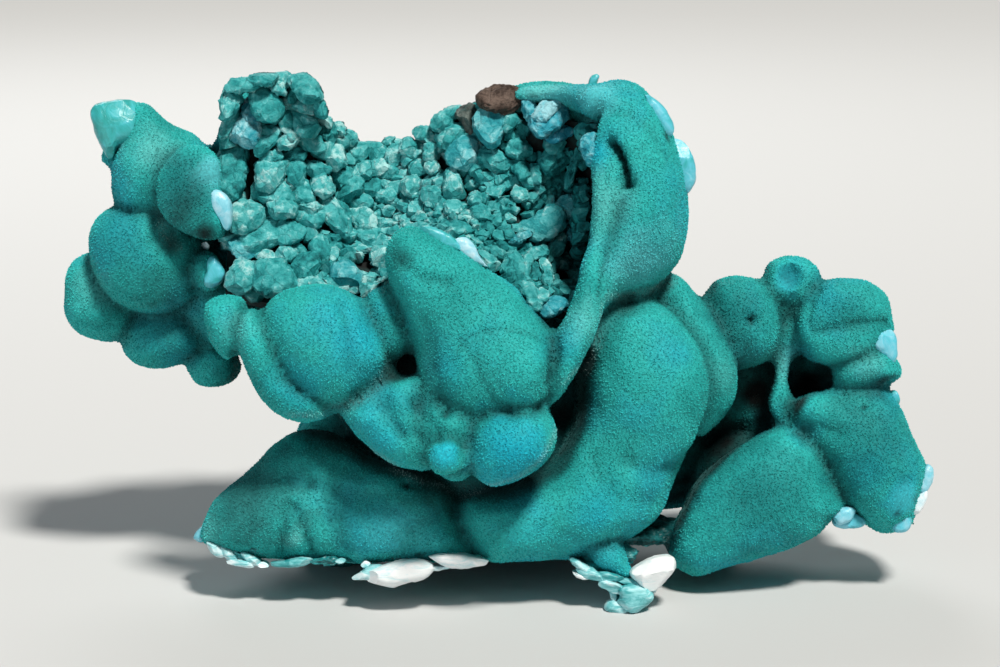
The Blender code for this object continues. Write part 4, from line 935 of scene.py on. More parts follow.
def add_between(bm, under, over):
    """Adds the closed solid between two grids of points."""
    low = [[bm.verts.new(at(point)) for point in column] for column in under]
    high = [[bm.verts.new(at(point)) for point in column] for column in over]
    columns = len(low)
    rows = len(low[0])
    for i in range(columns - 1):
        for j in range(rows - 1):
            bm.faces.new((high[i][j], high[i + 1][j], high[i + 1][j + 1], high[i][j + 1]))
            bm.faces.new((low[i][j], low[i][j + 1], low[i + 1][j + 1], low[i + 1][j]))
    edge = [(i, 0) for i in range(columns - 1)] + [(columns - 1, j) for j in range(rows - 1)]
    edge += [(i, rows - 1) for i in range(columns - 1, 0, -1)] + [(0, j) for j in range(rows - 1, 0, -1)]
    for (i, j), (m, n) in zip(edge, edge[1:] + edge[:1]):
        bm.faces.new((low[i][j], low[m][n], high[m][n], high[i][j]))


def smooth_outline(points, steps=8):
    """A closed curve through the points, as a fine polygon."""
    points = np.array(points, dtype=float)
    before, after, beyond = (np.roll(points, shift, axis=0) for shift in (1, -1, -2))
    rows = []
    for share in np.arange(steps) / steps:
        bend = (2.0 * before - 5.0 * points + 4.0 * after - beyond) * share ** 2
        bend += (3.0 * points - before - 3.0 * after + beyond) * share ** 3
        rows.append(points + 0.5 * ((after - before) * share + bend))
    return np.stack(rows, axis=1).reshape(-1, 2)


def add_lobe(bm, depth, front, back, outline, detail=5, fullness=FULLNESS, lean=0.0):
    """A ball drawn out to an outline that the camera sees, bulging as asked towards it and away from it.
    With a lean, it tips back as it rises."""
    middle = np.mean(outline, axis=0)
    ways = smooth_outline(outline) - middle
    angles = np.arctan2(ways[:, 1], ways[:, 0])
    reaches = np.hypot(ways[:, 0], ways[:, 1])
    order = np.argsort(angles)
    eye, _, up, forward = camera_frame()
    ray = sight(*middle)
    centre = eye + ray * ((at((0.0, depth, 0.0)).y - eye.y) / ray.y)
    away = (centre - eye).dot(forward)
    power = 2.0 / fullness
    for vertex in bmesh.ops.create_icosphere(bm, subdivisions=detail, radius=1.0)["verts"]:
        across = min(math.hypot(vertex.co.x, vertex.co.z), 1.0)
        angle = math.atan2(-vertex.co.z, vertex.co.x)
        reach = np.interp(angle, angles[order], reaches[order], period=math.tau) * across ** power
        aim = sight(middle[0] + reach * math.cos(angle), middle[1] + reach * math.sin(angle))
        bulge = math.copysign(abs(vertex.co.y) ** power, vertex.co.y) * (back if vertex.co.y > 0 else front)
        point = eye + aim * (away / aim.dot(forward))
        vertex.co = point + forward * (bulge * MM + lean * (point - centre).dot(up))


def clipped(cell, point, direction):
    """Cuts away what lies past a plane and closes the cut."""
    everything = cell.verts[:] + cell.edges[:] + cell.faces[:]
    cut = bmesh.ops.bisect_plane(cell, geom=everything, plane_co=point, plane_no=direction, clear_outer=True)
    edges = [item for item in cut["geom_cut"] if isinstance(item, bmesh.types.BMEdge)]
    if len(edges) > 2:
        bmesh.ops.contextual_create(cell, geom=edges)


def float_layers(bm, *names):
    """New values that a mesh keeps at its points, by name."""
    return {name: bm.verts.layers.float.new(name) for name in names}


def join(bm, piece, layers, values):
    """Adds a piece to a mesh, with values for each of its points, and frees it."""
    piece.verts.index_update()
    copies = [bm.verts.new(vertex.co) for vertex in piece.verts]
    for vertex, copy in zip(piece.verts, copies):
        for name, value in values(vertex.co).items():
            copy[layers[name]] = value
    for face in piece.faces:
        bm.faces.new([copies[vertex.index] for vertex in face.verts]).smooth = True
    piece.free()


# ---- relief

class Surface:
    """A piece's points and normals as arrays, for relief that a whole mesh takes at once."""

    def __init__(self, target):
        self.mesh = target.data
        count = len(self.mesh.vertices)
        self.points = np.empty((count, 3))
        self.mesh.vertices.foreach_get("co", self.points.ravel())
        edges = np.empty(len(self.mesh.edges) * 2, dtype=np.int64)
        self.mesh.edges.foreach_get("vertices", edges)
        edges = edges.reshape(-1, 2)
        self.ends = np.concatenate([edges[:, 0], edges[:, 1]])
        self.others = np.concatenate([edges[:, 1], edges[:, 0]])
        self.links = np.maximum(np.bincount(self.ends, minlength=count), 1)

    def normals(self):
        normals = np.empty((len(self.points), 3))
        self.mesh.vertex_normals.foreach_get("vector", normals.ravel())
        return normals

    def mean(self, values):
        """The mean of each point's neighbours."""
        count = len(self.points)
        if values.ndim == 1:
            return np.bincount(self.ends, weights=values[self.others], minlength=count) / self.links
        return np.stack([self.mean(values[:, axis]) for axis in range(3)], axis=1)

    def smooth(self, values, times):
        for _ in range(times):
            values = 0.5 * values + 0.5 * self.mean(values)
        return values

    def move(self, points):
        self.points = points
        self.mesh.vertices.foreach_set("co", self.points.ravel())
        self.mesh.update()

    def push(self, heights):
        """Moves every point along its normal, by heights in millimetres."""
        self.move(self.points + self.normals() * (heights * MM)[:, None])

    def level(self, lowest=0.0, highest=np.inf):
        """Flattens what passes these heights, in millimetres."""
        points = self.points.copy()
        points[:, 2] = np.clip(points[:, 2], lowest * MM, highest * MM)
        self.move(points)

    def store(self, name, values):
        layer = self.mesh.attributes.new(name, "FLOAT", "POINT")
        layer.data.foreach_set("value", np.clip(values, 0.0, 1.0).astype(np.float32))

    def hollowness(self, rounds):
        """How far each point lies below its surroundings, in millimetres; on a ridge it is negative."""
        below = self.smooth(self.points, rounds) - self.points
        return np.einsum("ij,ij->i", below, self.normals()) / MM

    def distance(self, marks):
        """How far each point is from the nearest of the marks, in millimetres."""
        least = np.full(len(self.points), np.inf)
        for mark in marks:
            least = np.minimum(least, ((self.points - np.array(mark)) ** 2).sum(axis=1))
        return np.sqrt(least) / MM

    def mounds(self, size, seed):
        """Rounded cells, about size millimetres across: 1 in a cell's middle and 0 in the creases."""
        heights = np.empty(len(self.points))
        shift = Vector((seed * 3.7, seed * 1.3, seed * 5.1))
        for index, point in enumerate(self.points):
            spot = Vector(point) / (size * MM) + shift
            spot += noise.noise_vector(spot * 0.6) * 0.5
            near, second = noise.voronoi(spot)[0][:2]
            heights[index] = second - near
        return np.sqrt(np.clip(heights, 0.0, 1.0))

    def waves(self, size, seed):
        """Uneven waves about size millimetres long, from about -1 to 1."""
        shift = Vector((seed * 2.9, seed * 7.7, seed * 4.3))
        return np.array([noise.fractal(Vector(point) / (size * MM) + shift, 0.6, 2.1, 3)
                         for point in self.points])

    def openness(self, tree, rays=10, reach=14.0):
        """How much of the space outside each point is free: 1 on a bulge and near 0 deep in a recess."""
        rng = random.Random(9)
        directions = []
        while len(directions) < rays:
            trial = Vector((rng.uniform(-1, 1), rng.uniform(-1, 1), rng.uniform(-1, 1)))
            if 0.1 < trial.length < 1.0:
                directions.append(trial.normalized())
        free = np.zeros(len(self.points))
        for index, (point, normal) in enumerate(zip(self.points, self.normals())):
            up = Vector(normal)
            start = Vector(point) + up * 0.25 * MM
            for direction in directions:
                way = (up * 1.15 + direction).normalized()
                free[index] += tree.ray_cast(start, way, reach * MM)[0] is None
        return self.smooth(free / rays, 2)


# ---- materials

def hexes(colour):
    """An sRGB hex colour as the linear numbers that a shader takes."""
    parts = [int(colour[index:index + 2], 16) / 255 for index in (1, 3, 5)]
    return [part / 12.92 if part <= 0.04045 else ((part + 0.055) / 1.055) ** 2.4 for part in parts] + [1.0]


def connect(tree, node, links):
    """Gives a node's inputs what links says: an output of another node, a hex colour or another value."""
    for key, value in links.items():
        if isinstance(value, bpy.types.NodeSocket):
            tree.links.new(value, node.inputs[key])
        else:
            node.inputs[key].default_value = hexes(value) if str(value).startswith("#") else value


def add_node(tree, kind, links=None, output=0, stops=(), **settings):
    """Adds a node with its settings and links, and gives one of its outputs. A kind without Node in it is a
    shader's. A colour ramp has stops, which are places and hex colours."""
    node = tree.nodes.new(kind if "Node" in kind else "ShaderNode" + kind)
    for key, value in settings.items():
        setattr(node, key, value)
    if stops:
        elements = node.color_ramp.elements
        while len(elements) < len(stops):
            elements.new(0.5)
        for element, (place, colour) in zip(elements, stops):
            element.position = place
            element.color = hexes(colour)
    connect(tree, node, links or {})
    return node.outputs[output]


def add_chain(tree, kind, start, entry, rows, output=0, **settings):
    """Adds a node for each row of links, each fed from the one before it, through the input named entry."""
    for links in rows:
        start = add_node(tree, kind, {entry: start, **links}, output, **settings)
    return start


# Settings for a chain whose nodes add weighed parts to a sum, lay tints over a colour, or multiply it by
# shades.
SUM = {"entry": 2, "operation": "MULTIPLY_ADD"}
TINT = {"entry": 6, "output": 2, "data_type": "RGBA"}
SHADE = {"entry": 6, "output": 2, "data_type": "RGBA", "blend_type": "MULTIPLY"}


def new_material(name):
    material = bpy.data.materials.new(name)
    material.use_nodes = True
    tree = material.node_tree
    tree.nodes.clear()
    shader = tree.nodes.new("ShaderNodeBsdfPrincipled")
    output = tree.nodes.new("ShaderNodeOutputMaterial")
    tree.links.new(shader.outputs["BSDF"], output.inputs["Surface"])
    return material, tree, shader



# ---- the hollow's bank

def along(points, x):
    """The point of a left-to-right line at x, in millimetres."""
    for start, end in zip(points, points[1:]):
        if x <= end[0]:
            share = max(0.0, (x - start[0]) / (end[0] - start[0]))
            return Vector(start).lerp(Vector(end), share)
    return Vector(points[-1])


def bank_point(x, share):
    """The bank's surface at x, from its lower edge (share 0) to its rim (share 1)."""
    foot = along(BANK_FOOT, x)
    rim = along(BANK_RIM, x)
    cavity = math.exp(-((x - CAVITY_X) / CAVITY_WIDTH) ** 2)
    sag = (BANK_SAG + CAVITY_SAG * cavity) * math.sin(math.pi * share)
    point = foot.lerp(rim, share)
    slope = (rim - foot).normalized()
    return point + Vector((0.0, slope.z, -slope.y)) * sag


def wall_point(forward, share):
    """The lining of the fold's inside, from the end of the bank (forward 0) to the fold line (forward 1)."""
    place = share * (len(FOLD_LINE) - 1)
    index = min(int(place), len(FOLD_LINE) - 2)
    front = Vector(FOLD_LINE[index]).lerp(Vector(FOLD_LINE[index + 1]), place - index)
    return bank_point(BANK_FOOT[-1][0], share).lerp(front, forward)


def lining_grid(back=0.0, up=0.0):
    """A grid of points over the bank and the inside of the fold, moved up and back into the wall."""
    left = BANK_FOOT[0][0]
    right = BANK_FOOT[-1][0]
    shares = [row / (BANK_ROWS - 1) for row in range(BANK_ROWS)]
    grid = []
    for column in range(BANK_COLUMNS):
        x = left + (right - left) * column / (BANK_COLUMNS - 1)
        shift = Vector((0.0, BANK_BACK * back, up - BANK_DOWN * back))
        grid.append([bank_point(x, share) + shift for share in shares])
    for column in range(1, WALL_COLUMNS + 1):
        forward = column / WALL_COLUMNS
        shift = Vector((WALL_OUT * back, WALL_BACK * (1.0 - forward) * back, up - WALL_DOWN * back))
        grid.append([wall_point(forward, share) + shift for share in shares])
    return grid


# ---- velvet

def hollow_cutter():
    bm = bmesh.new()
    add_between(bm, lining_grid(back=CRUST_THICKNESS), lining_grid(up=CUT_HEIGHT))
    add_ellipsoid(bm, *BUD_SCOOP, subdivisions=3)
    return new_object("hollow_cutter", bm)


def cushion(fill, add, lobes):
    """One cushion: its lobes, joined. Hollows that a ball of the fill's radius can't enter are closed,
    because the shape swells by it, is joined, and shrinks again."""
    bm = bmesh.new()
    for lobe in lobes:
        add(bm, *lobe)
    made = new_object("cushion", bm)
    if fill:
        for step in (fill, -fill):
            add_remesh(made, CUSHION_VOXEL)
            add_modifier(made, "DISPLACE", strength=step * MM, mid_level=0.0)
        add_remesh(made, CUSHION_VOXEL)
        settle(made)
    return made


def cushions():
    """All the cushions and broken blocks in one mesh, still overlapping, and each cushion's search tree."""
    bm = bmesh.new()
    trees = []
    for table, add in ((FRONT_CUSHIONS, add_lobe), (CUSHIONS, add_ellipsoid)):
        for fill, lobes in table.values():
            for group in [lobes.values()] if fill else [[lobe] for lobe in lobes.values()]:
                made = cushion(fill, add, group)
                bm.from_mesh(made.data)
                points = [vertex.co for vertex in made.data.vertices]
                faces = [face.vertices for face in made.data.polygons]
                trees.append((BVHTree.FromPolygons(points, faces),
                              np.min(points, axis=0), np.max(points, axis=0)))
                bpy.data.objects.remove(made)
    rng = random.Random(2)
    for centre, lengths, turns in BROKEN_BLOCKS.values():
        turn = Euler([math.radians(turn) for turn in turns]).to_matrix().to_4x4()
        shape = Matrix.Diagonal([length * MM for length in lengths]).to_4x4()
        place = Matrix.Translation(at(centre)) @ turn @ shape
        for corner in bmesh.ops.create_cube(bm, size=1.0, matrix=place)["verts"]:
            corner.co += Vector([rng.uniform(-CORNER_SHIFT, CORNER_SHIFT) * length * MM
                                 for length in lengths])
    return new_object("velvet_mass", bm), trees


def creases(points, trees):
    """The creases between cushions: 1 where the surfaces of two cushions meet, and 0 away from there."""
    first = np.full(len(points), np.inf)
    second = np.full(len(points), np.inf)
    for tree, low, high in trees:
        near = ((points > low - CREASE_REACH * MM) & (points < high + CREASE_REACH * MM)).all(axis=1)
        for index in np.nonzero(near)[0]:
            away = tree.find_nearest(points[index], CREASE_REACH * MM)[3]
            if away is None:
                continue
            if away < first[index]:
                second[index] = first[index]
                first[index] = away
            elif away < second[index]:
                second[index] = away
    return np.exp(-(second / (CREASE_WIDTH * MM)) ** 2)


def carve(surface, tree):
    """How deep the furrows and the pits go into the velvet, in millimetres."""
    marks = [(depth, width, seen_line(tree, line)) for depth, width, line in FURROWS.values()]
    marks += [(depth, radius, [seen(tree, *point)]) for radius, depth, point in PITS.values()]
    depths = np.zeros(len(surface.points))
    for depth, width, spots in marks:
        depths = np.maximum(depths, depth * np.exp(-(surface.distance(spots) / width) ** 2))
    return depths


def tint(surface, tree):
    """Stores each kind of patch under its name, with ragged edges."""
    ragged = 1.0 + PATCH_RAGGEDNESS * surface.waves(2.4, 8)
    layers = {}
    for kind, patches in PATCHES.items():
        layers[kind] = np.zeros(len(surface.points))
        for strength, radius, point in patches.values():
            spot = seen(tree, *point)
            if spot:
                share = np.clip(1.0 - surface.distance([spot]) * ragged / radius, 0.0, 1.0)
                layers[kind] = np.maximum(layers[kind], strength * share * share * (3.0 - 2.0 * share))
        surface.store(kind, layers[kind])
    return layers


def velvet_mass():
    """The cushions in one, with the hollow cut out of them and the rim's crest laid over its edge."""
    made, trees = cushions()
    cutter = hollow_cutter()
    add_remesh(made, VOXEL)
    add_modifier(made, "BOOLEAN", operation="DIFFERENCE", solver="MANIFOLD", object=cutter)
    settle(made)
    rim = cushion(RIM_FILL, add_lobe, RIM.values())
    bm = bmesh.new()
    bm.from_mesh(made.data)
    bm.from_mesh(rim.data)
    bm.to_mesh(made.data)
    bm.free()
    for used in (cutter, rim):
        bpy.data.objects.remove(used)
    add_remesh(made, VOXEL)
    settle(made)
    surface = Surface(made)
    surface.move(surface.smooth(surface.points, 1))
    tree = search_tree(made)
    swell = MOUND_HEIGHT * surface.mounds(MOUND_SIZE, 1) + WAVE_HEIGHT * surface.waves(WAVE_SIZE, 3)
    between = creases(surface.points, trees)
    surface.push(-SHRINK - MOUND_HEIGHT + swell - carve(surface, tree) - CREASE_DEPTH * between)
    # The crease value is painted shade: the velvet's colour darkens in furrows, pits and hollows and where
    # two cushions meet.
    surface.store("crease", np.maximum(surface.hollowness(6) * 3.0, 0.8 * surface.smooth(between, 1)))
    # The bulge value is painted light and shade: the velvet's colour is lighter on broad bulges and darker in
    # broad hollows.
    surface.store("bulge", 0.5 - surface.hollowness(40) * 0.5)
    layers = tint(surface, tree)
    fringe = np.zeros(len(surface.points))
    for line in FRINGES.values():
        fringe = np.maximum(fringe, np.exp(-(surface.distance(seen_line(tree, line)) / FRINGE_WIDTH) ** 2))
    surface.store("fringe", fringe)
    # The open value is painted shade in the velvet's colour, which darkens in recesses, and it also thins the
    # needles there.
    free = surface.openness(search_tree(made))
    surface.store("open", free)
    # Fewer needles stand on smooth and dark patches and deep in recesses.
    grown = (1.0 - layers["smooth"]) * (1.0 - 0.7 * layers["dark"])
    surface.store("pile", grown * np.clip(free * 4.0, 0.15, 1.0))
    return made


def velvet_material():
    """Aurichalcite druse: a dense pile of blue-green needles, which gives a sandy velvet with pale rims; the
    rims are partly the shader's sheen and partly painted rim light, and the velvet's darkening in recesses,
    creases and broad hollows is painted shade.
    """
    material, tree, shader = new_material("aurichalcite_velvet")
    place = add_node(tree, "TexCoord", output="Object")
    amount = {name: add_node(tree, "Attribute", output="Fac", attribute_name=name)
              for name in (*PATCHES, "open", "crease", "bulge", "fringe", "tip")}
    amount["fringe_tip_highlight"] = add_node(tree, "Math", {0: amount["fringe"], 1: amount["tip"]},
                                   operation="MULTIPLY")

    def tinted(colour, tints):
        """Lays tints over a colour. Each has what it follows, the share of it that shows, and its colour."""
        rows = [{0: add_node(tree, "Math", {0: amount[name], 1: share}, operation="MULTIPLY"), 7: tint}
                for name, share, tint in tints]
        return add_chain(tree, "Mix", colour, rows=rows, **TINT)

    regions = add_node(tree, "TexNoise", {"Vector": place, "Scale": 1 / (9 * MM), "Detail": 3.0})
    hue = add_node(tree, "ValToRGB", {"Fac": regions},
                   stops=[(0.34, "#209b98"), (0.5, "#2aaaa7"), (0.66, "#25a3ad")])
    hue = tinted(hue, [("blue", 1.0, "#0c9fb6"), ("pale", 1.0, "#7fd3d0"), ("smooth", 0.6, "#2ab9c9"),
                       ("grey", 0.75, "#2c6f70"), ("deep", 0.85, "#06676a")])
    # The needles stand about 0.2 mm apart, so the speckle that they make is that fine.
    speckle = add_node(tree, "TexNoise", {
        "Vector": place, "Scale": 1 / (0.22 * MM), "Detail": 2.0, "Roughness": 0.7})
    # The speckle is the needles' grain; the tip term is painted light, each needle lighter at its tip and
    # darker at its base.
    grain_and_tip_light = add_chain(tree, "Math", 0.26, rows=[{0: speckle, 1: 1.5}, {0: amount["tip"], 1: 0.45}], **SUM)
    # Painted shade: the velvet's colour is darkened where less of the space around it is open, deep in
    # recesses.
    sunk = add_node(tree, "ValToRGB", {"Fac": amount["open"]},
                    stops=[(0.02, "#0d3334"), (0.4, "#8fb3b4"), (0.75, "#ffffff")])
    # Painted light and shade: lighter on broad bulges and darker in broad hollows.
    crest = add_chain(tree, "Math", 0.55, rows=[{0: amount["bulge"], 1: 0.7}], **SUM)
    colour = add_chain(tree, "Mix", hue, rows=[{0: 1.0, 7: shade} for shade in (grain_and_tip_light, sunk, crest)],
                       **SHADE)
    # Painted shade in the creases; painted rim light in the fringes' pale tint and the pale tips of their
    # needles; the dark patches are partly dark rock and partly painted shade.
    colour = tinted(colour, [("crease", 0.7, "#0e4a4c"), ("fringe", 0.12, "#a8e2df"),
                             ("fringe_tip_highlight", 0.65, "#dcf3f1"), ("dark", 1.0, "#070c0c")])
    bump = add_node(tree, "Bump", {"Height": speckle, "Strength": 0.9, "Distance": 0.10 * MM})
    connect(tree, shader, {
        "Base Color": colour, "Roughness": 0.7, "Specular IOR Level": 0.2, "Sheen Weight": 0.18,
        "Sheen Roughness": 0.4, "Sheen Tint": "#7fdede", "Normal": bump})
    return material


def needle_tree(name, limits, seed):
    """Geometry nodes that stand three-sided needles all over a surface, between limits along X and Z."""
    tree = bpy.data.node_groups.new(name, "GeometryNodeTree")
    for way in ("INPUT", "OUTPUT"):
        tree.interface.new_socket("Geometry", in_out=way, socket_type="NodeSocketGeometry")
    ground = add_node(tree, "NodeGroupInput")
    axes = add_node(tree, "SeparateXYZ", {0: add_node(tree, "GeometryNodeInputPosition")}).node.outputs
    inside = True
    for axis, (low, high) in limits.items():
        for operation, limit in (("GREATER_EQUAL", low), ("LESS_THAN", high)):
            test = add_node(tree, "FunctionNodeCompare", {0: axes[axis], 1: limit * MM}, data_type="FLOAT",
                            operation=operation)
            inside = add_node(tree, "FunctionNodeBooleanMath", {0: inside, 1: test}, operation="AND")
    pile, fringe = (add_node(tree, "GeometryNodeInputNamedAttribute", {"Name": kept}, data_type="FLOAT")
                    for kept in ("pile", "fringe"))
    density = add_node(tree, "Math", {0: pile, 1: NEEDLES_PER_MM2 / MM ** 2}, operation="MULTIPLY")
    spread = add_node(tree, "GeometryNodeDistributePointsOnFaces", {
        "Mesh": ground, "Selection": inside, "Density": density, "Seed": seed}, distribute_method="RANDOM")
    cone = add_node(tree, "GeometryNodeMeshCone", {
        "Vertices": 3, "Radius Top": 0.0, "Radius Bottom": NEEDLE_RADIUS * MM, "Depth": NEEDLE_LENGTH * MM},
        fill_type="NONE")
    rise = add_node(tree, "SeparateXYZ", {0: add_node(tree, "GeometryNodeInputPosition")}, output=2)
    height = add_node(tree, "Math", {0: rise, 1: NEEDLE_LENGTH * MM}, operation="DIVIDE")
    needle = add_node(tree, "GeometryNodeStoreNamedAttribute", {
        "Geometry": cone, "Name": "tip", "Value": height}, data_type="FLOAT", domain="POINT")
    lean = add_node(tree, "FunctionNodeRandomValue", {
        0: (-NEEDLE_LEAN, -NEEDLE_LEAN, 0.0), 1: (NEEDLE_LEAN, NEEDLE_LEAN, 6.28), "Seed": seed + 1},
        data_type="FLOAT_VECTOR")
    turned = add_node(tree, "FunctionNodeRotateEuler", {
        "Rotation": spread.node.outputs["Rotation"], "Rotate By": lean}, space="LOCAL")
    size = add_node(tree, "FunctionNodeRandomValue", {0: NEEDLE_LEAST, 1: NEEDLE_MOST, "Seed": seed + 2},
                    data_type="FLOAT_VECTOR")
    thin, tall = (add_node(tree, "Math", {0: fringe, 1: growth, 2: 1.0}, operation="MULTIPLY_ADD")
                  for growth in (-FRINGE_THINNING, FRINGE_GROWTH))
    form = add_node(tree, "CombineXYZ", {0: thin, 1: thin, 2: tall})
    grown = add_node(tree, "VectorMath", {0: size, 1: form}, operation="MULTIPLY")
    stand = add_node(tree, "GeometryNodeInstanceOnPoints", {
        "Points": spread, "Instance": needle, "Rotation": turned, "Scale": grown})
    real = add_node(tree, "GeometryNodeRealizeInstances", {"Geometry": stand})
    connect(tree, tree.nodes.new("NodeGroupOutput"), {0: real})
    return tree


def needles(ground):
    """The velvet's needles, in a lower and an upper piece for each part of its width."""
    pieces = []
    for side, (start, end, split) in NEEDLE_PARTS.items():
        for level, low, high in (("low", 0.0, split), ("high", split, EVERYWHERE)):
            name = f"needles_{side}_{level}"
            made = bpy.data.objects.new(name, ground.data.copy())
            bpy.context.scene.collection.objects.link(made)
            group = needle_tree(name, {0: (start, end), 2: (low, high)}, len(pieces) * 10 + 1)
            add_modifier(made, "NODES", node_group=group)
            settle(made)
            pieces.append(made)
    return pieces


# ---- crystals in the hollow

def bank_tree():
    """The bank's surface, for finding where the camera sees a crystal."""
    bm = bmesh.new()
    add_between(bm, lining_grid(back=BANK_DEPTH), lining_grid())
    tree = BVHTree.FromBMesh(bm)
    bm.free()
    return tree


def crystal_cell(seed, others, rng):
    """One crystal, in millimetres: a rounded block with a few flat faces, cut back by its neighbours."""
    cell = bmesh.new()
    detail = LARGE_DETAIL if seed["radius"] >= LARGE_RADIUS else SMALL_DETAIL
    bmesh.ops.create_icosphere(cell, subdivisions=detail, radius=1.0)
    size = Vector(seed["lengths"]) / 2.0
    # A power of 1 keeps the ball, and a lower one squares its sides.
    power = SQUAREST + (1.0 - SQUAREST) * seed["round"]
    for vertex in cell.verts:
        block = Vector([math.copysign(abs(part) ** power, part) for part in vertex.co])
        vertex.co = seed["spot"] + seed["turn"].to_3x3() @ (block * size)
    for _ in range(FACETS):
        way = (any_turn(rng) @ Vector((0.0, 0.0, 1.0))).normalized()
        reach = max((vertex.co - seed["spot"]).dot(way) for vertex in cell.verts)
        clipped(cell, seed["spot"] + way * reach * rng.uniform(0.55, 0.9), way)
    for other in others:
        way = other["spot"] - seed["spot"]
        reach = OVERLAP * way.length * seed["radius"] / (seed["radius"] + other["radius"])
        if reach < max(seed["lengths"]) / 2.0:
            clipped(cell, seed["spot"] + way.normalized() * reach, way)
    for vertex in cell.verts:
        vertex.co = at(vertex.co)
    return cell


def small_crystals(seeds):
    """The seeds become crystals, each cut back a little by its neighbours."""
    rng = random.Random(8)
    bm = bmesh.new()
    layers = float_layers(bm, "tone", "front")
    tree = KDTree(len(seeds))
    for index, seed in enumerate(seeds):
        tree.insert(seed["spot"], index)
    tree.balance()
    for seed in seeds:
        near = [seeds[index] for _, index, away in tree.find_n(seed["spot"], NEIGHBOURS) if away > 0.05]
        join(bm, crystal_cell(seed, near, rng), layers, lambda point: {
            "tone": seed["tone"],
            "front": 0.5 + 0.5 * (in_table(point) - seed["spot"]).dot(OUTWARD) / seed["radius"]})
    return finish_crystals(new_object("crystals_small", bm), 0.8)


def usual_radius(x, share):
    """Half the usual width of a crystal at x and this share of the way up the bank."""
    if x < -17.0:
        return 0.95 + 0.25 * share
    if x < -11.0:
        return 0.85
    if share > 0.55:
        return 0.72
    return 0.52 + 0.15 * share


def crystal_seeds(rng, tree):
    """Where the small crystals stand: wherever the named blocks, the gaps and the cracks leave room."""
    seeds = []
    voids = [(radius, seen(tree, *point)) for radius, point in GAPS.values()]
    voids += [(CRACK_WIDTH, hit) for line in CRACKS.values() for hit in seen_line(tree, line)]
    for *_, outline in BLOCKS.values():
        width, height = np.ptp(outline, axis=0) * MM_PER_POINT
        voids.append((BLOCK_ROOM * (width + height) / 4.0, seen(tree, *np.mean(outline, axis=0))))
    voids = [(radius, in_table(hit)) for radius, hit in voids if hit]
    left = BANK_FOOT[0][0]
    right = BANK_FOOT[-1][0]
    for trial in range(TRIALS):
        if trial % 4:
            x = rng.uniform(left, right)
            share = rng.uniform(0.0, 1.0)
            spot = bank_point(x, share)
            # Painted shade: crystals right of x = -2, towards the cavity, take darker tones, and those on the
            # fold's inside darker still.
            tone = rng.uniform(0.45, 1.0) if x < -2.0 else rng.uniform(0.0, 0.5)
        else:
            share = rng.uniform(0.4, 0.97)
            spot = wall_point(rng.uniform(0.05, 0.6), share)
            x = right
            tone = rng.uniform(0.0, 0.2)
        radius = usual_radius(x, share) * rng.choice((0.6, 0.8, 1.0, 1.3))
        if any((spot - place).length < keep + radius * 0.6 for keep, place in voids):
            continue
        if any((spot - seed["spot"]).length < CLOSEST * (radius + seed["radius"]) for seed in seeds):
            continue
        lengths = [2.0 * radius * rng.uniform(1.15, 1.8) for _ in range(3)]
        patch = noise.noise(spot / 6.0 + Vector((3.0, 1.0, 7.0)))
        spot = spot + OUTWARD * rng.uniform(-0.8, 0.35) * radius
        seeds.append({"spot": spot, "lengths": lengths, "turn": any_turn(rng), "radius": radius,
                      "round": rng.uniform(0.0, 0.9), "tone": min(max(tone + 0.5 * patch, 0.0), 1.0)})
    return seeds


def finish_crystals(made, size):
    """Works the crystals' faces over with waves, paler on their crests and darker in their hollows, partly
    frosted and partly painted light and shade, and keeps their edges crisp.
    """
    surface = Surface(made)
    rough = surface.waves(0.6 * size, 12)
    surface.push(0.24 * size * surface.waves(1.2 * size, 11) + 0.13 * rough)
    surface.store("frost_and_painted_light", 0.5 + 0.5 * rough)
    surface.level(highest=CRYSTAL_TOP)
    made.data.set_sharp_from_angle(angle=SHARP)
    return made


def crust_bed():
    """The dark bed behind the crystals, seen only down the cracks between them."""
    bm = bmesh.new()
    add_between(bm, lining_grid(back=CRUST_THICKNESS - BED_INSET), lining_grid(back=BED_TOP))
    return new_object("crystal_bed", bm)


def add_drawn(bm, layers, rng, depth, bulge, facets, outline, values, growth, back, fullness, lean=0.0):
    """A piece with a known outline, cut by a few flat faces. Front is 1 where it bulges furthest."""
    piece = bmesh.new()
    middle = np.mean(outline, axis=0)
    grown = middle + growth * (np.array(outline) - middle)
    add_lobe(piece, depth, bulge, back, grown, detail=4, fullness=fullness, lean=lean)
    _, right, up, forward = camera_frame()
    centre = sum((vertex.co for vertex in piece.verts), Vector()) / len(piece.verts)
    for _ in range(facets):
        around = rng.uniform(0.0, math.tau)
        slope = rng.uniform(0.3, 1.3)
        way = (slope * (right * math.cos(around) + up * math.sin(around)) - forward).normalized()
        reach = max((vertex.co - centre).dot(way) for vertex in piece.verts)
        clipped(piece, centre + way * reach * rng.uniform(0.78, 0.97), way)
    scale = 0.5 / (bulge * MM)
    join(bm, piece, layers, lambda point: {
        **values, "front": min(max(0.5 + scale * (centre - point).dot(forward - lean * up), 0.0), 1.0)})


def drawn_depth(tree, outline, out):
    """The depth along Y, in the tables' millimetres, of the surface seen in the middle of an outline."""
    hit = seen(tree, *np.mean(outline, axis=0))
    return in_table(hit).y - out if hit else TOWER_DEPTH - out


def blocks(tree):
    """The crystals, plates and leaves that can be told apart."""
    rng = random.Random(15)
    bm = bmesh.new()
    layers = float_layers(bm, "tone", "blue", "brown", "front")
    for out, bulge, facets, tone, hue, outline in BLOCKS.values():
        values = {"tone": tone, "blue": max(-hue, 0.0), "brown": max(hue, 0.0)}
        depth = drawn_depth(tree, outline, out)
        add_drawn(bm, layers, rng, depth, bulge, facets, outline, values, **BLOCK_STYLE)
    return finish_crystals(new_object("crystal_blocks", bm), 1.0)


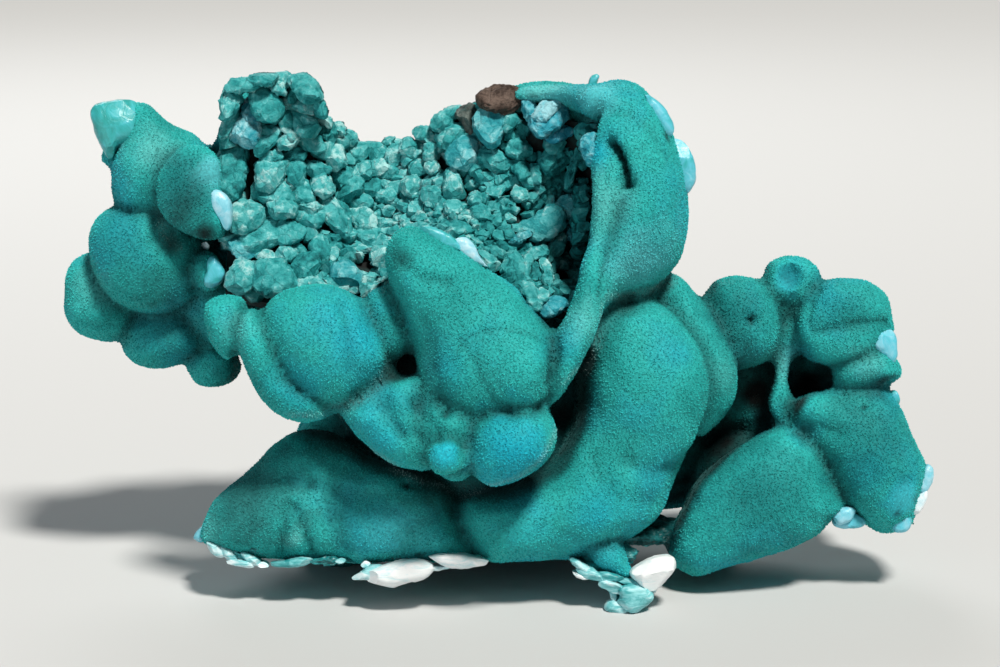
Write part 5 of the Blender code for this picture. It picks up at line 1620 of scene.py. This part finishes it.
def crystal_material():
    """Blocky waxy crystals: each has its own tone and faint cracks between its blocks; its crests are paler,
    partly frosted and partly painted light, and its sides and hollows carry painted shade.
    """
    material, tree, shader = new_material("blocky_aurichalcite")
    place = add_node(tree, "TexCoord", output="Object")
    tone, blue, front, frost_and_painted_light, brown = (add_node(tree, "Attribute", output="Fac", attribute_name=name)
                                       for name in ("tone", "blue", "front", "frost_and_painted_light", "brown"))
    cloud = add_node(tree, "TexNoise", {
        "Vector": place, "Scale": 1 / (1.1 * MM), "Detail": 6.0, "Roughness": 0.7, "Distortion": 0.5})
    fine = add_node(tree, "TexNoise", {
        "Vector": place, "Scale": 1 / (0.3 * MM), "Detail": 3.0, "Roughness": 0.7})
    # The cracks wander: their pattern is shifted by up to 0.9 mm.
    shift = cloud.node.outputs["Color"]
    bent = add_node(tree, "VectorMath", {0: shift, 1: (0.9 * MM,) * 3, 2: place}, operation="MULTIPLY_ADD")
    cells = {"Vector": bent, "Scale": 1 / (1.5 * MM)}
    cracks = add_node(tree, "TexVoronoi", cells, feature="DISTANCE_TO_EDGE")
    patch = add_node(tree, "SeparateXYZ", {
        0: add_node(tree, "TexVoronoi", cells, output="Color")})
    # The waves' crests come out paler and their hollows darker: partly frosted, partly painted light and
    # shade.
    lit = add_chain(tree, "Math", -0.58, rows=[
        {0: cloud, 1: 1.0}, {0: tone, 1: 0.4}, {0: patch, 1: 0.22}, {0: frost_and_painted_light, 1: 0.38},
        {0: fine, 1: 0.45}], **SUM)
    teal = add_node(tree, "ValToRGB", {"Fac": lit}, stops=[
        (0.05, "#0a3f41"), (0.25, "#125f62"), (0.42, "#1f7e81"), (0.58, "#2f9b9d"), (0.78, "#55b5b7"),
        (0.98, "#a6dbdb")])
    azure = add_node(tree, "ValToRGB", {"Fac": lit},
                     stops=[(0.1, "#0c6f86"), (0.55, "#2f9fb8"), (0.95, "#97d4e3")])
    oxide = add_node(tree, "ValToRGB", {"Fac": cloud}, stops=[(0.4, "#3a2e28"), (0.6, "#6f5f56")])
    colour = add_chain(tree, "Mix", teal, rows=[{0: blue, 7: azure}, {0: brown, 7: oxide}], **TINT)
    seam = add_node(tree, "ValToRGB", {"Fac": cracks}, stops=[(0.0, "#3c5556"), (0.05, "#ffffff")])
    broken = add_node(tree, "ValToRGB", {"Fac": fine}, stops=[(0.45, "#000000"), (0.6, "#a0a0a0")])
    # Painted shade: a crystal is darkened down its sides, where it meets its neighbours, by how far each
    # point lies back from its front; its hidden back is lighter.
    sunk = add_node(tree, "ValToRGB", {"Fac": front}, stops=[
        (0.0, "#7fa0a0"), (0.1, "#0c2526"), (0.42, "#8aa9a9"), (0.66, "#ffffff")])
    colour = add_chain(tree, "Mix", colour, rows=[{0: broken, 7: seam}, {0: 1.0, 7: sunk}], **SHADE)
    groove = add_node(tree, "Math", {0: cracks, 1: 0.08}, operation="MINIMUM")
    height = add_chain(tree, "Math", cloud, rows=[{0: fine, 1: 0.35}, {0: groove, 1: 2.5}], **SUM)
    bump = add_node(tree, "Bump", {"Height": height, "Strength": 0.8, "Distance": 0.3 * MM})
    connect(tree, shader, {
        "Base Color": colour, "Roughness": 0.6, "Specular IOR Level": 0.16, "Normal": bump})
    return material


def bed_material():
    """Dark rock behind the crystals: nearly black, mottled with dark teal and brown."""
    material, tree, shader = new_material("dark_bed")
    place = add_node(tree, "TexCoord", output="Object")
    stains = add_node(tree, "TexNoise", {"Vector": place, "Scale": 1 / (1.5 * MM), "Detail": 4.0})
    colour = add_node(tree, "ValToRGB", {"Fac": stains},
                      stops=[(0.4, "#050b0b"), (0.55, "#0b2a2a"), (0.7, "#15100c")])
    connect(tree, shader, {"Base Color": colour, "Roughness": 0.9})
    return material


# ---- broken chips of shell, and the matrix

def broken_pieces(name, seed, rows, style, relief):
    """Thin broken pieces in one mesh. Each row has a depth, a bulge, a count of flat faces, a whiteness and
    an outline. The relief is waves, each with its height, its length and its seed."""
    rng = random.Random(seed)
    bm = bmesh.new()
    layers = float_layers(bm, "white", "front")
    for depth, bulge, facets, white, outline in rows:
        add_drawn(bm, layers, rng, depth, bulge, facets, outline, {"white": white}, **style)
    made = new_object(name, bm)
    surface = Surface(made)
    surface.push(sum(height * surface.waves(length, wave_seed) for height, length, wave_seed in relief))
    surface.level()
    made.data.set_sharp_from_angle(angle=SHARP)
    return made


def chips(tree):
    rows = [(drawn_depth(tree, outline, out) if depth is None else depth, bulge, facets, white, outline)
            for depth, out, bulge, facets, white, outline in CHIPS.values()]
    return broken_pieces("shell_chips", 21, rows, CHIP_STYLE, [(0.10, 2.0, 31), (0.03, 0.5, 32)])


def flakes():
    waves = [(0.10, 1.6, 35), (0.05, 0.5, 36)]
    return broken_pieces("matrix_flakes", 33, FLAKES.values(), FLAKE_STYLE, waves)


def matrix():
    """The body of the matrix, in thin uneven layers."""
    rng = random.Random(6)
    bm = bmesh.new()
    for lump in MATRIX_LUMPS.values():
        add_ellipsoid(bm, *lump, subdivisions=2)
    for vertex in bm.verts:
        vertex.co += Vector([rng.uniform(-MATRIX_SHIFT, MATRIX_SHIFT) * MM for _ in range(3)])
    made = new_object("chalk_matrix", bm)
    add_remesh(made, MATRIX_VOXEL, smooth=False)
    settle(made)
    surface = Surface(made)
    surface.move(surface.smooth(surface.points, 2))
    layered = np.floor(surface.waves(2.4, 5) * MATRIX_STEPS) / MATRIX_STEPS
    surface.push(0.35 * layered + 0.10 * surface.waves(0.9, 6) - MATRIX_SHRINK)
    surface.store("sunk", surface.hollowness(3) * 5.0)
    surface.level()
    return made


def chip_material():
    """Broken shell: smooth, pale blue to pearly white, a little glossy, with faint bands of growth."""
    material, tree, shader = new_material("broken_shell")
    place = add_node(tree, "TexCoord", output="Object")
    white, front = (add_node(tree, "Attribute", output="Fac", attribute_name=name)
                    for name in ("white", "front"))
    bands = add_node(tree, "TexNoise", {
        "Vector": place, "Scale": 1 / (1.3 * MM), "Detail": 5.0, "Roughness": 0.6, "Distortion": 0.8})
    pale = add_chain(tree, "Math", -0.4, rows=[{0: white, 1: 1.0}, {0: bands, 1: 0.8}], **SUM)
    colour = add_node(tree, "ValToRGB", {"Fac": pale}, stops=[
        (0.0, "#2f9c99"), (0.16, "#3fb4b8"), (0.34, "#5fc6da"), (0.6, "#a6dcec"), (0.95, "#eef7fa")])
    # Painted shade: each chip is darkened towards its sides and back, away from its front.
    edge = add_node(tree, "ValToRGB", {"Fac": front}, stops=[(0.1, "#3c6a70"), (0.55, "#ffffff")])
    colour = add_chain(tree, "Mix", colour, rows=[{0: 1.0, 7: edge}], **SHADE)
    bump = add_node(tree, "Bump", {"Height": bands, "Strength": 0.5, "Distance": 0.25 * MM})
    connect(tree, shader, {"Base Color": colour, "Roughness": 0.32, "Normal": bump})
    return material


def matrix_material():
    """Chalky matrix: pearly white to pale cyan, with green stains, and darker in its cracks and hollows."""
    material, tree, shader = new_material("chalky_matrix")
    place = add_node(tree, "TexCoord", output="Object")
    white, sunk = (add_node(tree, "Attribute", output="Fac", attribute_name=name)
                   for name in ("white", "sunk"))
    stretched = add_node(tree, "Mapping", {"Vector": place, "Scale": (0.5, 0.5, 1.8)})
    layers = add_node(tree, "TexNoise", {
        "Vector": stretched, "Scale": 1 / (1.2 * MM), "Detail": 6.0, "Roughness": 0.65, "Distortion": 0.6})
    tone = add_chain(tree, "Math", -0.3, rows=[{0: white, 1: 0.62}, {0: layers, 1: 1.1}], **SUM)
    colour = add_node(tree, "ValToRGB", {"Fac": tone}, stops=[
        (0.15, "#115a5c"), (0.34, "#2e9a9e"), (0.5, "#7fcbd0"), (0.68, "#cfeaee"), (0.85, "#f6fafb")])
    # Darker in cracks and hollows, by how far a point lies below its surroundings.
    crack_darkening = add_node(tree, "Math", {0: sunk, 1: 0.85}, operation="MULTIPLY")
    colour = add_chain(tree, "Mix", colour, rows=[{0: crack_darkening, 7: "#0d3335"}], **TINT)
    bump = add_node(tree, "Bump", {"Height": layers, "Strength": 0.5, "Distance": 0.2 * MM})
    connect(tree, shader, {"Base Color": colour, "Roughness": 0.4, "Normal": bump})
    return material


# ---- studio

def make_floor():
    """A sheet of matt pale paper, which throws soft light back."""
    material, tree, shader = new_material("pale_paper")
    connect(tree, shader, {"Base Color": "#c8cacb", "Roughness": 0.9})
    bm = bmesh.new()
    bmesh.ops.create_grid(bm, x_segments=1, y_segments=1, size=FLOOR_SIZE)
    floor = new_object("floor", bm)
    floor.data.materials.append(material)


def add_lamp(name, kind, place, power, colour, **settings):
    data = bpy.data.lights.new(name, kind)
    data.energy = power
    data.color = hexes(colour)[:3]
    for key, value in settings.items():
        setattr(data, key, value)
    lamp = bpy.data.objects.new(name, data)
    lamp.location = Vector(place)
    lamp.rotation_euler = (at(LOOK_AT) - lamp.location).to_track_quat("-Z", "Y").to_euler()
    bpy.context.scene.collection.objects.link(lamp)


def make_lights():
    add_lamp("key", "SUN", (0.14, -0.24, 0.48), 4.0, "#fffaf2", angle=math.radians(10))
    add_lamp("fill", "AREA", (-0.40, -0.45, 0.12), 0.65, "#eef4ff", size=0.40)
    add_lamp("back", "AREA", (-0.10, 0.40, 0.35), 0.8, "#ffffff", size=0.25)
    world = bpy.data.worlds.new("studio")
    world.use_nodes = True
    connect(world.node_tree, world.node_tree.nodes["Background"], {"Color": "#c8ccd0", "Strength": 0.09})
    bpy.context.scene.world = world
    bpy.context.scene.view_settings.view_transform = "Standard"


def dress(pieces, node, material):
    """Hands pieces over in place of a node, in one material."""
    for piece in pieces:
        piece.data.materials.clear()
        piece.data.materials.append(material)
        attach(piece, "root")
        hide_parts(node)


def main():
    noise.seed_set(NOISE_SEED)
    make_camera()
    make_lights()
    make_floor()
    body = velvet_mass()
    dress([body, *needles(body)], "aurichalcite_mass", velvet_material())
    dress([chips(search_tree(body))], "aurichalcite_mass", chip_material())
    bank = bank_tree()
    crystals = [small_crystals(crystal_seeds(random.Random(4), bank)), blocks(bank)]
    dress(crystals, "hollow_crust", crystal_material())
    dress([crust_bed()], "hollow_crust", bed_material())
    dress([matrix(), flakes()], "white_matrix", matrix_material())


main()
